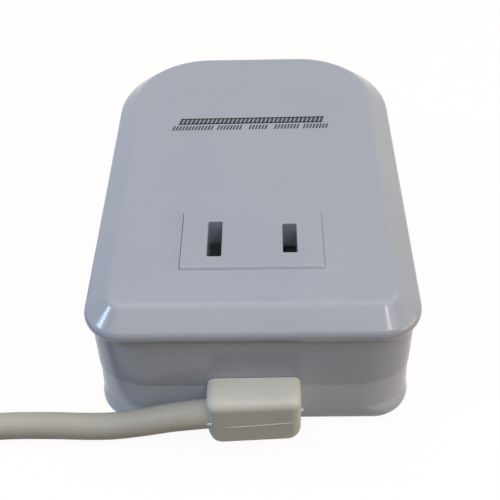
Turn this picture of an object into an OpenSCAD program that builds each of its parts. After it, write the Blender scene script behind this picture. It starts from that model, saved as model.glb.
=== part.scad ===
// Travel voltage converter: a small step-down transformer in a two-part moulded case, with a
// two-slot outlet in its top face, a voltage selector on its side and a fixed mains cord.
// Millimetres. The origin is on the table under the middle of the case, +Z is up, and the cord
// leaves at the -Y end.

/* [Case] */
// Width across the rim
case_w = 54.8; // [54.4:0.2:60]
// Length over the rim, from the cord end to the round end
case_l = 80; // [79:0.5:88]
// Height from the table to the top face
case_h = 26.8; // [26.6:0.2:30]
// Thickness of the moulded walls
wall = 2; // [1.7:0.1:2.1]
// Corner radius of the rim at the cord end
near_r = 6.9; // [6.8:0.1:8]
// Corner radius of the rim at the round end
far_r = 17.8; // [14:0.2:18]
// Width of the sloping bevel round the top face
bevel_w = 3.95; // [3.2:0.05:4.2]
// Slope of the bevel below the top face, in degrees
bevel_slope = 38; // [32:1:40]
// Radius of the rounded rim under the bevel
rim_round = 1.5; // [1.3:0.1:1.7]
// How far the rim stands out from the wall below it
rim_overhang = 1.05; // [0.85:0.05:1.2]
// Rounding of the crease between the top face and the bevel
crease_r = 0.8; // [0.4:0.1:1.2]
// Height of the seam between the base and the cover
seam_h = 10.1; // [9.6:0.1:10.6]
// How far the base stands proud of the cover's wall
base_step = 0.1; // [0.05:0.05:0.3]
// How far the base's foot stands out from its top
base_flare = 0.6; // [0.2:0.05:0.7]
// Rounding of the base's lower edge
base_edge_r = 3.2; // [2.4:0.1:3.4]
// Height of the base's lip inside the cover
lip_h = 1.5; // [1:0.1:1.8]
// Clearance between pieces that are put together
fit = 0.1; // [0.05:0.05:0.15]

/* [Case screws] */
// Diameter of the case screws
screw_d = 2.6; // [2.2:0.1:2.8]
// Diameter of the case screws' heads
screw_head_d = 4.6; // [4:0.1:4.8]
// Length of the case screws under the head
screw_l = 11; // [9:0.5:13]
// Diameter of the posts that take the case screws
post_d = 6.8; // [6.4:0.1:7]
// Distance of the round end's posts from the middle line
far_post_x = 8; // [6:0.5:9]

/* [Outlet] */
// Width of the outlet plate
outlet_w = 24; // [23:0.2:25]
// Length of the outlet plate
outlet_l = 14.1; // [13.4:0.1:15]
// How far the plate stands above the top face
outlet_proud = 0.45; // [0.4:0.05:1]
// Distance of the plate's middle from the cord end of the rim
outlet_setback = 18.95; // [18.5:0.05:19.5]
// Depth of the outlet below the plate's face
outlet_depth = 18.75; // [18.5:0.05:19.4]
// Thickness of the plate in front of the contacts
outlet_skin = 8; // [6:0.1:8.4]
// Distance between the two slots
slot_pitch = 12.7; // [12.3:0.1:13]
// Width of the slots
slot_w = 2.4; // [1.8:0.1:2.8]
// Length of the longer, neutral slot
neutral_slot_l = 8.6; // [7.6:0.1:9]
// Length of the shorter, live slot
live_slot_l = 7.1; // [6.6:0.1:7.6]
// Thickness of the contact strip
contact_t = 0.5; // [0.4:0.05:0.6]

/* [Transformer] */
// Width of the core's middle leg
tongue = 14; // [12.5:0.1:14.2]
// Height of the stacked core
stack = 12; // [10:0.2:12.4]
// Thickness of the bobbin's walls
bobbin_t = 0.8; // [0.6:0.1:0.9]
// Thickness of the full-voltage winding
main_build = 2; // [1.4:0.1:2.1]
// Thickness of the tapped winding over it
tap_build = 1.2; // [0.8:0.1:1.3]
// Thickness of the tape round the windings
tape_t = 0.3; // [0.2:0.05:0.35]
// Diameter of the screws through the core
core_screw_d = 3; // [2.5:0.1:3.2]
// Diameter of the thermal fuse
fuse_d = 3.6; // [3:0.1:4]
// Length of the thermal fuse's case
fuse_l = 10; // [8:0.5:12]
// Thickness of the insulating board
board_t = 1; // [0.6:0.1:1.2]

/* [Voltage selector] */
// Travel of the selector's knob
selector_travel = 4; // [3:0.1:4]
// Distance of the selector's middle from the cord end of the rim
selector_setback = 23; // [22.5:0.1:23.5]
// Length of the knob along its travel
knob_l = 4; // [3:0.1:4]
// Height of the knob
knob_h = 3.6; // [3:0.1:4]
// How far the knob stands out of the wall
knob_proud = 0.8; // [0.3:0.05:0.85]
// Height of the selector's metal frame
frame_h = 7.6; // [7:0.1:7.8]
// Running clearance of the knob
run = 0.3; // [0.3:0.02:0.36]

/* [Wires] */
// Diameter of the insulated wires inside
wire_d = 1.5; // [1:0.1:1.6]

/* [Cord and plug] */
// Diameter of the mains cord
cord_d = 4.6; // [4:0.1:4.8]
// Width of the strain relief block
block_w = 15.6; // [14:0.1:17]
// Height of the strain relief block
block_h = 10; // [9:0.1:10.4]
// How far the block stands out from the cover's wall
block_t = 5.85; // [5.4:0.05:6.4]
// Height of the block's underside above the table
block_z = 2.4; // [2:0.1:2.8]
// Rounding of the block's edges
block_r = 1.6; // [1:0.1:2.2]
// Width of the neck through the case wall
neck_w = 9; // [7:0.1:10]
// Thickness of the tie round the coil
tie_t = 0.6; // [0.4:0.1:0.7]
// Width of the tie
tie_w = 8; // [5:0.5:9]
// Width of the plug's body
plug_w = 23; // [21:0.5:25]
// Height of the plug's body
plug_h = 13; // [12.5:0.1:14]
// Length of the plug's body
plug_l = 20; // [18:0.5:21]
// Length of the plug's boot
boot_l = 12; // [10:0.5:12]
// Length of the plug's blades
blade_l = 17.5; // [16:0.1:18]
// Width of the blades
blade_w = 6.35; // [6:0.05:6.5]
// Thickness of the blades
blade_t = 1.5; // [1.4:0.05:1.6]

/* [Hidden] */

// Colours
case_white = "#cdd1d9";
cord_white = "#c6c4bb";
dark_plastic = "#3b3d42";
phenolic = "#5d3b22";
copper = "#b06a3a";
brass_yellow = "#c9a650";
steel_grey = "#9a9da1";
core_grey = "#6d7175";

$fn = 48;

// Steps in a quarter of a rounded edge
round_steps = 6;
// Overlap that keeps a cut clean
cut = 0.5;

// Case: insets are measured in from the rim line
half_w = case_w / 2;
half_l = case_l / 2;
near_c = [half_w - near_r, -half_l + near_r];
far_c = [half_w - far_r, half_l - far_r];
lip_t = wall / 2;
inner_in = rim_overhang + wall;
base_in = rim_overhang - base_step;
foot_in = base_in - base_flare;
base_lean = atan(base_flare / (seam_h - base_edge_r));
floor_z = wall;
ceiling_z = case_h - wall;
inner_r = 1;
base_top_r = 0.2;
rim_z = case_h - (rim_round + sin(bevel_slope) * (bevel_w - rim_round)) / cos(bevel_slope);
under_angle = acos((rim_round - rim_overhang) / rim_round);
wall_x = half_w - rim_overhang;
inner_x = half_w - inner_in;
front_out = -half_l + foot_in;
front_in = -half_l + inner_in;

// Case screws stand in posts that clear the inside of the wall
post_r = post_d / 2;
post_gap = 0.2;
near_post = [inner_x - post_r - post_gap, front_in + post_r + post_gap];
far_post = [far_post_x, half_l - inner_in - post_r - post_gap];
posts = [near_post, [-near_post.x, near_post.y], far_post, [-far_post.x, far_post.y]];
screw_seat_z = 5;
screw_head_h = 2;
screw_drive = [0.5, 2.6, 1];
post_bore_end = screw_seat_z + screw_l + 1;

// Outlet
outlet_y = -half_l + outlet_setback;
outlet_z = case_h + outlet_proud;
outlet_lip = 1.2;
outlet_lip_t = 1.6;
outlet_lip_size = [outlet_w + 2 * outlet_lip, outlet_l + 2 * outlet_lip];
plate_r = 0.3;
body_r = 0.5;
outlet_inset = 0.8;
outlet_body = [outlet_w - 2 * outlet_inset, outlet_l - 2 * outlet_inset];
outlet_bottom = outlet_z - outlet_depth;
outlet_back_t = 1.5;
outlet_back_z = outlet_bottom - outlet_back_t;
contact_w = 6.4;
contact_half = 1.9;
chamber_w = 2 * (contact_half + contact_t + fit);
chamber_l = neutral_slot_l + 1;
chamber_top = outlet_z - outlet_skin;
contact_top = chamber_top - 2;
contact_pinch = 0.5;
contact_lead = 1.2;
tail_w = 2.6;
tail_l = 2;
tail_z = outlet_back_z - tail_l / 2;
prop = [1.6, 8];

// Insulating board between the outlet and the transformer, in guides on the floor
wire_room = 3.45;
board_y = outlet_y + outlet_lip_size.y / 2 + wire_room + board_t / 2;
board_gap = 2.7;
board_half = 17;
board_notch = [26, 5.6];
guide = [3, 3.4, 6];
guide_x = board_half - 1;

// Transformer: flat laminations, the middle leg along Y. The core reaches from the board to the
// far posts, or to the case's round corners if those come first
window_w = tongue / 2;
yoke = tongue / 2;
core_w = 3 * tongue;
core_gap = 0.6;
corner_r = far_r - inner_in - core_gap;
corner_reach = sqrt(max(pow(corner_r, 2) - pow(max(core_w / 2 - far_c.x, 0), 2), 0));
core_y1 = min(far_post.y - post_r - core_gap, far_c.y + corner_reach);
core_y0 = board_y + board_t / 2 + board_gap;
leg_l = core_y1 - core_y0 - 2 * yoke;
mid_z = (floor_z + ceiling_z) / 2;
core_z0 = mid_z - stack / 2;
core_z1 = mid_z + stack / 2;
core_screw_r = core_screw_d / 2;
core_screw_x = core_w / 2 - yoke / 2;
core_holes = [
  [core_screw_x, core_y0 + yoke / 2], [-core_screw_x, core_y0 + yoke / 2],
  [core_screw_x, core_y1 - yoke / 2], [-core_screw_x, core_y1 - yoke / 2]
];
core_screw_head = [core_screw_r + 1.1, 1.7];
core_post_r = core_screw_r + 1.7;
core_screw_end = floor_z + 1;
bobbin_gap = 0.2;
bobbin_y0 = core_y0 + yoke + bobbin_gap;
bobbin_l = leg_l - 2 * bobbin_gap;
flange_t = 1;
flange = [tongue + 2 * window_w - 2 * bobbin_gap, ceiling_z - floor_z - 1.2];
tube_in = [tongue + 2 * fit, stack + 2 * fit];
tube_out = [tube_in.x + 2 * bobbin_t, tube_in.y + 2 * bobbin_t];
// Above and below the core the windings take up the height that is left inside the case
wind_gap = 1;
wind_room = (ceiling_z - floor_z - tube_out.y) / 2 - wind_gap;
pressed = wind_room / (main_build + tap_build + tape_t);
main_out = [tube_out.x + 2 * main_build, tube_out.y + 2 * main_build * pressed];
tap_out = [main_out.x + 2 * tap_build, main_out.y + 2 * tap_build * pressed];
tape_out = [tap_out.x + 2 * tape_t, tap_out.y + 2 * tape_t * pressed];
wind_y0 = bobbin_y0 + flange_t;
wind_l = bobbin_l - 2 * flange_t;
wind_r = 1.2;
pin_r = 0.5;
pin_l = 3;
pin_x = [-9, -3, 3, 9];
pin_z = mid_z - flange.y / 2 + 2.4;
pin_y = bobbin_y0 - pin_l;
fuse_y = core_y0 + yoke / 2;
fuse_z = core_z1 + fuse_d / 2 + 0.05;
fuse_lead_r = 0.5;
fuse_lead_l = 2.5;
fuse_end = fuse_l / 2 + fuse_lead_l;
board_top = core_z1 - 1;

// Voltage selector behind the right-hand wall
sel_y = -half_l + selector_setback;
sel_z = seam_h + lip_h + frame_h / 2 + 0.3;
frame_t = 0.5;
frame_end = 4.4;
frame_half = selector_travel / 2 + frame_end;
ear = 3.8;
ear_half = frame_half + ear;
frame_x1 = inner_x;
frame_depth = 5.9;
frame_x0 = frame_x1 - frame_depth;
sel_base_t = 1.2;
knob_y = sel_y - selector_travel / 2;
knob_groove = [0.6, 0.5];
window_half = selector_travel / 2 + knob_l / 2 + run;
window_h = knob_h + 2 * run;
carriage_x1 = frame_x1 - frame_t - run;
carriage_t = 1.9;
carriage = [carriage_t, knob_l + 1.2, frame_h - 2 * frame_t - 2 * run];
bridge_t = 0.5;
bridge_x0 = carriage_x1 - carriage_t - bridge_t;
rivet_r = 1.1;
tag = [3.6, 0.6, 2];
tag_x = frame_x0 - tag.x;
terminal_y = [sel_y - selector_travel, sel_y, sel_y + selector_travel];
sel_screw_r = 1;
sel_screw_y = frame_half + ear / 2;
sel_screw_head = [1.9, 1.1];
sel_screw_l = 4.2;

// Strain relief: the neck sits in a notch that the cover closes
block_y1 = -half_l + rim_overhang - fit;
block_y0 = block_y1 - block_t;
block_mid = [(block_y0 + block_y1) / 2, block_z + block_h / 2];
neck_z = block_z + 2.2;
neck_top = seam_h - fit;
relief_flange = [neck_w + 4, 1.8];
relief_flange_z = floor_z + inner_r;
relief_back = front_in + fit + relief_flange.y;
core_wire_x = 1.4;
core_wire_z = (neck_z + neck_top) / 2 - 1;

// Where the cord leaves the block, a little below its middle
exit_y = block_y0 + cord_d / 2 + 0.4;
exit_z = block_mid.y - 0.6;

// Coil: winds in on the table and out again on top of itself
coil_c = [-104, exit_y + 22.2];
coil_r = 32;
coil_z = 3;
coil_step = 5.2;
coil_turns = 5.25;
coil_rings = 24;
coil_sides = 6;
climb_turns = 0.5;
tie_angle = 225;
tie_clear = 0.6;
tie_r = 0.6;

// Plug beside the coil; plug_x is where its body starts
plug_x = -100;
plug_y = coil_c.y + 46;
plug_front = plug_x + plug_l;
plug_r = 2.5;
boot_d = [6.2, 9];
boot_grooves = 3;
blade_root = 4;
blade_tip = 1.2;
blade_hole_r = 1.5;
blade_hole_back = 4.6;

// Cord: the free stretches' points, chosen by hand, with Y measured from the cord's exit
lead_way = [
  [-14, 0.1, 5.7], [-19, 0.2, 4.2], [-24, 0.4, 3], [-29, 0.7, 2.5], [-36, 1, 2.4], [-44, 0.9, 2.4],
  [-53, -0.2, 2.4], [-62, -2.4, 2.5], [-71, -5.2, 2.6], [-80, -7.8, 2.8], [-88, -9.3, 3], [-94, -9.8, 3]
];
tail_way = [
  [-136, 31.2, 8.2], [-136, 37.2, 7.2], [-136, 43.2, 5.6], [-135.7, 49.2, 4.2], [-133.5, 56.2, 3.3],
  [-129, 62.7, 3.4], [-123, 66.8, 4.8], [-118.5, 68, 6.1]
];
lead_route = concat(
  [[-block_w / 2, exit_y, exit_z], [-10, exit_y, exit_z]],
  [for (p = lead_way) [p.x, exit_y + p.y, p.z]],
  [[coil_c.x + cord_d, coil_c.y - coil_r, coil_z]]
);
tail_route = concat(
  [[coil_c.x - coil_r, coil_c.y + cord_d, coil_z + coil_step]],
  [for (p = tail_way) [p.x, exit_y + p.y, p.z]],
  [[-115.5, plug_y, plug_h / 2], [plug_x - boot_l, plug_y, plug_h / 2]]
);
cord_sides = 8;

// Points along an arc about a centre
function arc(c, r, from, to, steps = round_steps) =
  [for (i = [0:steps]) let (a = from + (to - from) * i / steps) [c.x + r * cos(a), c.y + r * sin(a)]];

// Outline of a rectangle with round corners, about its middle
function rounded(size, r) = concat(
  arc([size.x / 2 - r, size.y / 2 - r], r, 0, 90), arc([r - size.x / 2, size.y / 2 - r], r, 90, 180),
  arc([r - size.x / 2, r - size.y / 2], r, 180, 270), arc([size.x / 2 - r, r - size.y / 2], r, 270, 360)
);

// A side profile, measured out from the rim line, filled in to an axis at a distance
function filled(reach, side) = concat(
  [[0, side[0].y]], [for (p = side) [reach + p.x, p.y]], [[0, side[len(side) - 1].y]]
);

function unit(v) = v / norm(v);
function way(path, i) = unit(path[min(i + 1, len(path) - 1)] - path[max(i - 1, 0)]);
function square_to(v, along) = unit(v - (v * along) * along);

// A direction across a path at each of its points, carried along without twisting
function across(path, i, v) =
  i == len(path) ? [] : let (n = square_to(v, way(path, i))) concat([n], across(path, i + 1, n));

// A round tube along a path
module tube(path, r, sides) {
  start = abs(way(path, 0).z) < 0.9 ? [0, 0, 1] : [0, 1, 0];
  n = across(path, 0, start);
  last = len(path) - 1;
  points = [
    for (i = [0:last]) let (b = cross(way(path, i), n[i]))
    for (k = [0:sides - 1]) let (a = 360 * (k + 0.5) / sides) path[i] + r * (cos(a) * n[i] + sin(a) * b)
  ];
  skin = [
    for (i = [0:last - 1]) for (k = [0:sides - 1])
    let (a = i * sides + k, b = i * sides + (k + 1) % sides)
    for (f = [[a, a + sides, b], [b, a + sides, b + sides]]) f
  ];
  caps = [
    for (k = [1:sides - 2])
    for (f = [[0, k, k + 1], [last * sides, last * sides + k + 1, last * sides + k]]) f
  ];
  polyhedron(points, concat(skin, caps), convexity = 8);
}

// A smooth path through points, with a few steps between each two
function between(a, b, c, d, t) =
  0.5 * (2 * b + (c - a) * t + (2 * a - 5 * b + 4 * c - d) * t * t + (3 * b - a - 3 * c + d) * t * t * t);
function smooth(p, steps) = concat(
  [for (i = [0:len(p) - 2]) for (k = [0:steps - 1])
    between(p[max(i - 1, 0)], p[i], p[i + 1], p[min(i + 2, len(p) - 1)], k / steps)],
  [p[len(p) - 1]]
);

// An insulated wire with straight ends through points
module wire(points, colour) {
  inner = [for (i = [1:len(points) - 2]) points[i]];
  path = concat([points[0]], smooth(inner, 3), [points[len(points) - 1]]);
  color(colour) tube(path, wire_d / 2, 8);
}

// The base's side, from the table up to the seam, leaning in above its round foot
function base_side() = concat(
  arc([-foot_in - base_edge_r, base_edge_r], base_edge_r, -90, base_lean),
  arc([-base_in - base_top_r, seam_h - base_top_r], base_top_r, base_lean, 90, 3)
);

// The straight part of the cord end, with a side profile
module front_solid(side) {
  translate([near_c.x, near_c.y, 0]) rotate([90, 0, -90]) linear_extrude(2 * near_c.x)
    polygon(filled(near_r, side));
}

// The case's plan, round at the far end, with a side profile swept round it
module d_solid(side) {
  right = [for (p = side) [half_w + p.x, p.y]];
  left = [for (i = [len(side) - 1:-1:0]) [-half_w - side[i].x, side[i].y]];
  translate([0, far_c.y, 0]) rotate([90, 0, 0]) linear_extrude(far_c.y - near_c.y)
    polygon(concat(right, left));
  translate([-far_c.x, far_c.y, 0]) rotate([90, 0, 90]) linear_extrude(2 * far_c.x)
    polygon(filled(far_r, side));
  front_solid(side);
  for (m = [0, 1]) mirror([m, 0, 0]) {
    translate([far_c.x, far_c.y, 0]) rotate_extrude(angle = 90) polygon(filled(far_r, side));
    translate([near_c.x, near_c.y, 0]) rotate([0, 0, -90]) rotate_extrude(angle = 90)
      polygon(filled(near_r, side));
  }
}

// A rectangle in plan, lifted between two heights
module slab(size, r, z0, z1) {
  translate([0, 0, z0]) linear_extrude(z1 - z0) polygon(rounded(size, r));
}

// A window through a wall or frame, along X, at the selector
module selector_window(x0, x1) {
  translate([x0, sel_y - window_half, sel_z - window_h / 2]) cube([x1 - x0, 2 * window_half, window_h]);
}

// What follows is placed at each of the selector's two screws, with +Z pointing into the case
module at_selector_screws() {
  for (s = [-1, 1]) translate([wall_x, sel_y + s * sel_screw_y, sel_z]) rotate([0, -90, 0]) children();
}

module top_cover() {
  outer = concat(
    [[-rim_overhang, seam_h]],
    arc([-rim_round, rim_z], rim_round, -under_angle, 90 - bevel_slope, 8),
    arc([-bevel_w - crease_r * tan(bevel_slope / 2), case_h - crease_r], crease_r, 90 - bevel_slope, 90, 3)
  );
  inner = concat(
    [[-rim_overhang - lip_t, seam_h - cut], [-rim_overhang - lip_t, seam_h + lip_h]],
    [[-inner_in, seam_h + lip_h]],
    arc([-inner_in - inner_r, ceiling_z - inner_r], inner_r, 0, 90)
  );
  color(case_white) difference() {
    union() {
      difference() {
        d_solid(outer);
        d_solid(inner);
      }
      for (p = posts) translate([p.x, p.y, seam_h]) cylinder(h = ceiling_z - seam_h + cut, r = post_r);
    }
    for (p = posts) translate([p.x, p.y, seam_h - cut])
      cylinder(h = post_bore_end - seam_h + cut, r = screw_d / 2 + fit / 2);
    translate([0, outlet_y, 0])
      slab([outlet_w + 2 * fit, outlet_l + 2 * fit], plate_r, ceiling_z - cut, case_h + cut);
    selector_window(inner_x - cut, wall_x + cut);
    at_selector_screws() {
      translate([0, 0, -cut]) cylinder(h = wall + 2 * cut, r = sel_screw_r + fit);
      translate([0, 0, -fit])
        cylinder(h = sel_screw_head.y + fit, r1 = sel_screw_head.x + 2 * fit, r2 = sel_screw_r + fit);
    }
  }
}

module base_shell() {
  outer = concat(
    base_side(),
    [[-rim_overhang - lip_t - fit, seam_h], [-rim_overhang - lip_t - fit, seam_h + lip_h - fit]]
  );
  inner = concat(
    arc([-inner_in - inner_r, floor_z + inner_r], inner_r, -90, 0),
    [[-inner_in, seam_h + lip_h + cut]]
  );
  notch_w = neck_w + 2 * fit;
  notch_z = neck_z - fit;
  color(case_white) difference() {
    union() {
      difference() {
        d_solid(outer);
        d_solid(inner);
      }
      for (p = posts) translate([p.x, p.y, floor_z - cut]) cylinder(h = seam_h - floor_z + cut, r = post_r);
      for (p = core_holes) translate([p.x, p.y, floor_z - cut])
        cylinder(h = core_z0 - floor_z + cut, r = core_post_r);
      for (s = [-1, 1]) {
        translate([s * (outlet_body.x - prop.x) / 2, outlet_y, (floor_z - cut + outlet_back_z) / 2])
          cube([prop.x, prop.y, outlet_back_z - floor_z + cut], center = true);
        translate([s * guide_x, board_y, floor_z + guide.z / 2 - cut / 2])
          cube([guide.x, guide.y, guide.z + cut], center = true);
      }
    }
    for (p = posts) translate([p.x, p.y, -cut]) {
      cylinder(h = screw_seat_z + cut, r = screw_head_d / 2 + 2 * fit);
      cylinder(h = seam_h + 2 * cut, r = screw_d / 2 + fit);
    }
    for (p = core_holes) translate([p.x, p.y, core_screw_end - fit])
      cylinder(h = core_z0 - core_screw_end + cut, r = core_screw_r + fit / 2);
    translate([-board_half - fit, board_y - board_t / 2 - fit, floor_z])
      cube([2 * board_half + 2 * fit, board_t + 2 * fit, guide.z + cut]);
    translate([-notch_w / 2, front_out - cut, notch_z])
      cube([notch_w, front_in - front_out + 2 * cut, case_h]);
  }
}

module case_screws() {
  color(steel_grey) for (p = posts) translate([p.x, p.y, 0]) difference() {
    union() {
      translate([0, 0, screw_seat_z - screw_head_h]) cylinder(h = screw_head_h, r = screw_head_d / 2);
      translate([0, 0, screw_seat_z - cut]) cylinder(h = screw_l + cut, r = screw_d / 2);
    }
    for (a = [0, 90]) rotate([0, 0, a]) translate([0, 0, screw_seat_z - screw_head_h])
      cube([screw_drive.y, screw_drive.x, 2 * screw_drive.z], center = true);
  }
}

module outlet_face() {
  color(case_white) translate([0, outlet_y, 0]) difference() {
    union() {
      slab([outlet_w, outlet_l], plate_r, ceiling_z - cut, outlet_z);
      slab(outlet_lip_size, body_r, ceiling_z - outlet_lip_t, ceiling_z);
      slab(outlet_body, body_r, outlet_bottom, ceiling_z - outlet_lip_t + cut);
    }
    for (s = [-1, 1]) translate([s * slot_pitch / 2, 0, 0]) {
      translate([-chamber_w / 2, -chamber_l / 2, outlet_bottom - cut])
        cube([chamber_w, chamber_l, chamber_top - outlet_bottom + cut]);
      slot_l = s < 0 ? neutral_slot_l : live_slot_l;
      translate([-slot_w / 2, -slot_l / 2, chamber_top - cut])
        cube([slot_w, slot_l, outlet_skin + 2 * cut]);
    }
  }
}

module outlet_back() {
  color(dark_plastic) translate([0, outlet_y, 0]) difference() {
    slab(outlet_body, body_r, outlet_back_z, outlet_bottom);
    for (s = [-1, 1]) translate([s * slot_pitch / 2, 0, outlet_back_z + outlet_back_t / 2])
      cube([contact_t + 2 * fit, tail_w + 2 * fit, outlet_back_t + 2 * cut], center = true);
  }
}

// A spring contact bent from one strip: two leaves that pinch the blade, and a solder tail
module contact(side) {
  knee_z = outlet_bottom + 2.5;
  pinch_z = contact_top - 3;
  leaf = [
    [contact_half, outlet_bottom + contact_t], [contact_half, knee_z],
    [contact_pinch, pinch_z], [contact_lead, contact_top]
  ];
  back = [
    [contact_lead + contact_t, contact_top], [contact_pinch + contact_t, pinch_z],
    [contact_half + contact_t, knee_z], [contact_half + contact_t, outlet_bottom]
  ];
  right = concat(leaf, back);
  left = [for (i = [len(right) - 1:-1:0]) [-right[i].x, right[i].y]];
  translate([side * slot_pitch / 2, outlet_y, 0]) {
    translate([0, contact_w / 2, 0]) rotate([90, 0, 0]) linear_extrude(contact_w)
      polygon(concat(right, left));
    translate([-contact_t / 2, -tail_w / 2, outlet_back_z - tail_l])
      cube([contact_t, tail_w, tail_l + outlet_back_t + contact_t / 2]);
  }
}

module neutral_contact() {
  color(brass_yellow) contact(-1);
}

module live_contact() {
  color(brass_yellow) contact(1);
}

// The holes for the screws through the core's corners
module core_bores() {
  for (p = core_holes) translate([p.x, p.y, core_z0 - cut])
    cylinder(h = stack + 2 * cut, r = core_screw_r + fit);
}

module core_e_stack() {
  leg_y = core_y0 + yoke;
  color(core_grey) difference() {
    translate([0, 0, core_z0]) linear_extrude(stack) {
      translate([-core_w / 2, core_y0]) square([core_w, yoke]);
      translate([-tongue / 2, leg_y - cut]) square([tongue, leg_l + cut]);
      for (x = [-core_w / 2, core_w / 2 - yoke]) translate([x, leg_y - cut]) square([yoke, leg_l + cut]);
    }
    core_bores();
  }
}

module core_i_stack() {
  color(core_grey) difference() {
    translate([-core_w / 2, core_y1 - yoke, core_z0]) cube([core_w, yoke, stack]);
    core_bores();
  }
}

module core_screws() {
  color(steel_grey) for (p = core_holes) translate([p.x, p.y, 0]) difference() {
    union() {
      translate([0, 0, core_z1]) cylinder(h = core_screw_head.y, r = core_screw_head.x);
      translate([0, 0, core_screw_end]) cylinder(h = core_z1 - core_screw_end + cut, r = core_screw_r);
    }
    for (a = [0, 90]) rotate([0, 0, a]) translate([0, 0, core_z1 + core_screw_head.y])
      cube([2 * core_screw_r, screw_drive.x, core_screw_head.y], center = true);
  }
}

// A rectangular ring about the middle leg
module leg_ring(outer, inner, r, y0, l) {
  translate([0, y0 + l, mid_z]) rotate([90, 0, 0]) linear_extrude(l) difference() {
    polygon(rounded(outer, r));
    square(inner, center = true);
  }
}

module bobbin() {
  color(dark_plastic) difference() {
    union() {
      leg_ring(tube_out, tube_in, 0.1, bobbin_y0, bobbin_l);
      leg_ring(flange, tube_in, 1, bobbin_y0, flange_t);
      leg_ring(flange, tube_in, 1, bobbin_y0 + bobbin_l - flange_t, flange_t);
    }
    for (x = pin_x) translate([x, bobbin_y0 - cut, pin_z]) rotate([-90, 0, 0])
      cylinder(h = flange_t + 2 * cut, r = pin_r + fit / 2);
  }
}

module bobbin_pins() {
  color(steel_grey) for (x = pin_x) translate([x, pin_y, pin_z]) rotate([-90, 0, 0])
    cylinder(h = pin_l + flange_t - fit, r = pin_r);
}

// A winding is a ring whose inside fits over what it is wound on
module winding(outer, inner, inner_round) {
  translate([0, wind_y0 + wind_l - fit, mid_z]) rotate([90, 0, 0]) linear_extrude(wind_l - 2 * fit)
    difference() {
      polygon(rounded(outer, wind_r));
      polygon(rounded(inner, inner_round));
    }
}

module main_winding() {
  color(copper) winding(main_out, tube_out, 0.1);
}

module tap_winding() {
  color("#a85b30") winding(tap_out, main_out, wind_r);
}

module winding_tape() {
  color("#d9b23c") winding(tape_out, tap_out, wind_r);
}

module thermal_fuse() {
  color("#b9a27a") translate([-fuse_l / 2, fuse_y, fuse_z]) rotate([0, 90, 0]) {
    cylinder(h = fuse_l, r = fuse_d / 2);
    translate([0, 0, -fuse_lead_l]) cylinder(h = fuse_l + 2 * fuse_lead_l, r = fuse_lead_r);
  }
}

module insulating_board() {
  color("#8a8577") translate([0, board_y + board_t / 2, 0]) rotate([90, 0, 0]) linear_extrude(board_t)
    difference() {
      translate([-board_half, floor_z]) square([2 * board_half, board_top - floor_z]);
      translate([-board_notch.x / 2, floor_z - cut]) square([board_notch.x, board_notch.y + cut]);
    }
}

module selector_frame() {
  color(steel_grey) difference() {
    union() {
      translate([frame_x1 - frame_t, sel_y - ear_half, sel_z - frame_h / 2])
        cube([frame_t, 2 * ear_half, frame_h]);
      translate([frame_x0, sel_y - frame_half, sel_z - frame_h / 2])
        cube([frame_depth, 2 * frame_half, frame_h]);
    }
    translate([frame_x0 - cut, sel_y - frame_half + frame_t, sel_z - frame_h / 2 + frame_t])
      cube([frame_depth - frame_t + cut, 2 * (frame_half - frame_t), frame_h - 2 * frame_t]);
    selector_window(frame_x1 - frame_t - cut, frame_x1 + cut);
    at_selector_screws() cylinder(h = wall + frame_t + cut, r = sel_screw_r + fit / 2);
  }
}

module selector_base() {
  size = [sel_base_t, 2 * (frame_half - frame_t - fit / 2), frame_h - 2 * frame_t - fit];
  color(phenolic) difference() {
    translate([frame_x0 + sel_base_t / 2, sel_y, sel_z]) cube(size, center = true);
    for (y = terminal_y) translate([frame_x0 - cut, y, sel_z]) rotate([0, 90, 0])
      cylinder(h = sel_base_t + 2 * cut, r = rivet_r / 2 + fit / 2);
  }
}

module selector_terminals() {
  head_x = frame_x0 + sel_base_t;
  color(brass_yellow) for (y = terminal_y) translate([0, y, sel_z]) {
    translate([head_x, 0, 0]) rotate([0, 90, 0]) cylinder(h = bridge_x0 - run - head_x, r = rivet_r);
    translate([frame_x0 - tag.y / 2, 0, 0]) rotate([0, 90, 0])
      cylinder(h = sel_base_t + tag.y, r = rivet_r / 2);
    translate([tag_x + tag.x / 2, 0, 0]) cube(tag, center = true);
  }
}

module selector_screws() {
  color(steel_grey) at_selector_screws() difference() {
    union() {
      translate([0, 0, fit]) cylinder(h = sel_screw_head.y, r1 = sel_screw_head.x, r2 = sel_screw_r);
      translate([0, 0, fit]) cylinder(h = sel_screw_l, r = sel_screw_r);
    }
    for (a = [0, 90]) rotate([0, 0, a]) cube([2 * sel_screw_r, screw_drive.x, screw_drive.z], center = true);
  }
}

module selector_knob() {
  color("#8f2d28") difference() {
    union() {
      translate([carriage_x1 - carriage_t, knob_y - carriage.y / 2, sel_z - carriage.z / 2]) cube(carriage);
      translate([carriage_x1 - cut, knob_y - knob_l / 2, sel_z - knob_h / 2])
        cube([wall_x + knob_proud - carriage_x1 + cut, knob_l, knob_h]);
    }
    for (k = [-1, 0, 1]) translate([wall_x + knob_proud, knob_y + k * knob_l / 4, sel_z])
      cube([knob_groove.x, knob_groove.y, knob_h + cut], center = true);
  }
}

module selector_bridge() {
  size = [bridge_t, min(selector_travel + rivet_r, carriage.y), carriage.z - 1];
  color(brass_yellow) translate([bridge_x0 + bridge_t / 2, knob_y, sel_z]) cube(size, center = true);
}

// Where the wires join: the cord's two cores, the contacts' tails, the fuse, the pins and the tags
function tail_edge(side, edge) = [side * slot_pitch / 2, outlet_y + edge * tail_w / 2, tail_z];
function pin_end(i) = [pin_x[i], pin_y, pin_z];
function tag_edge(i, side) = [tag_x + wire_d / 2 + fit, terminal_y[i], sel_z + side * tag.z / 2];
wire_low = floor_z + 3;
under_outlet = min(wire_low, tail_z);
straight = 2;

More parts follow.
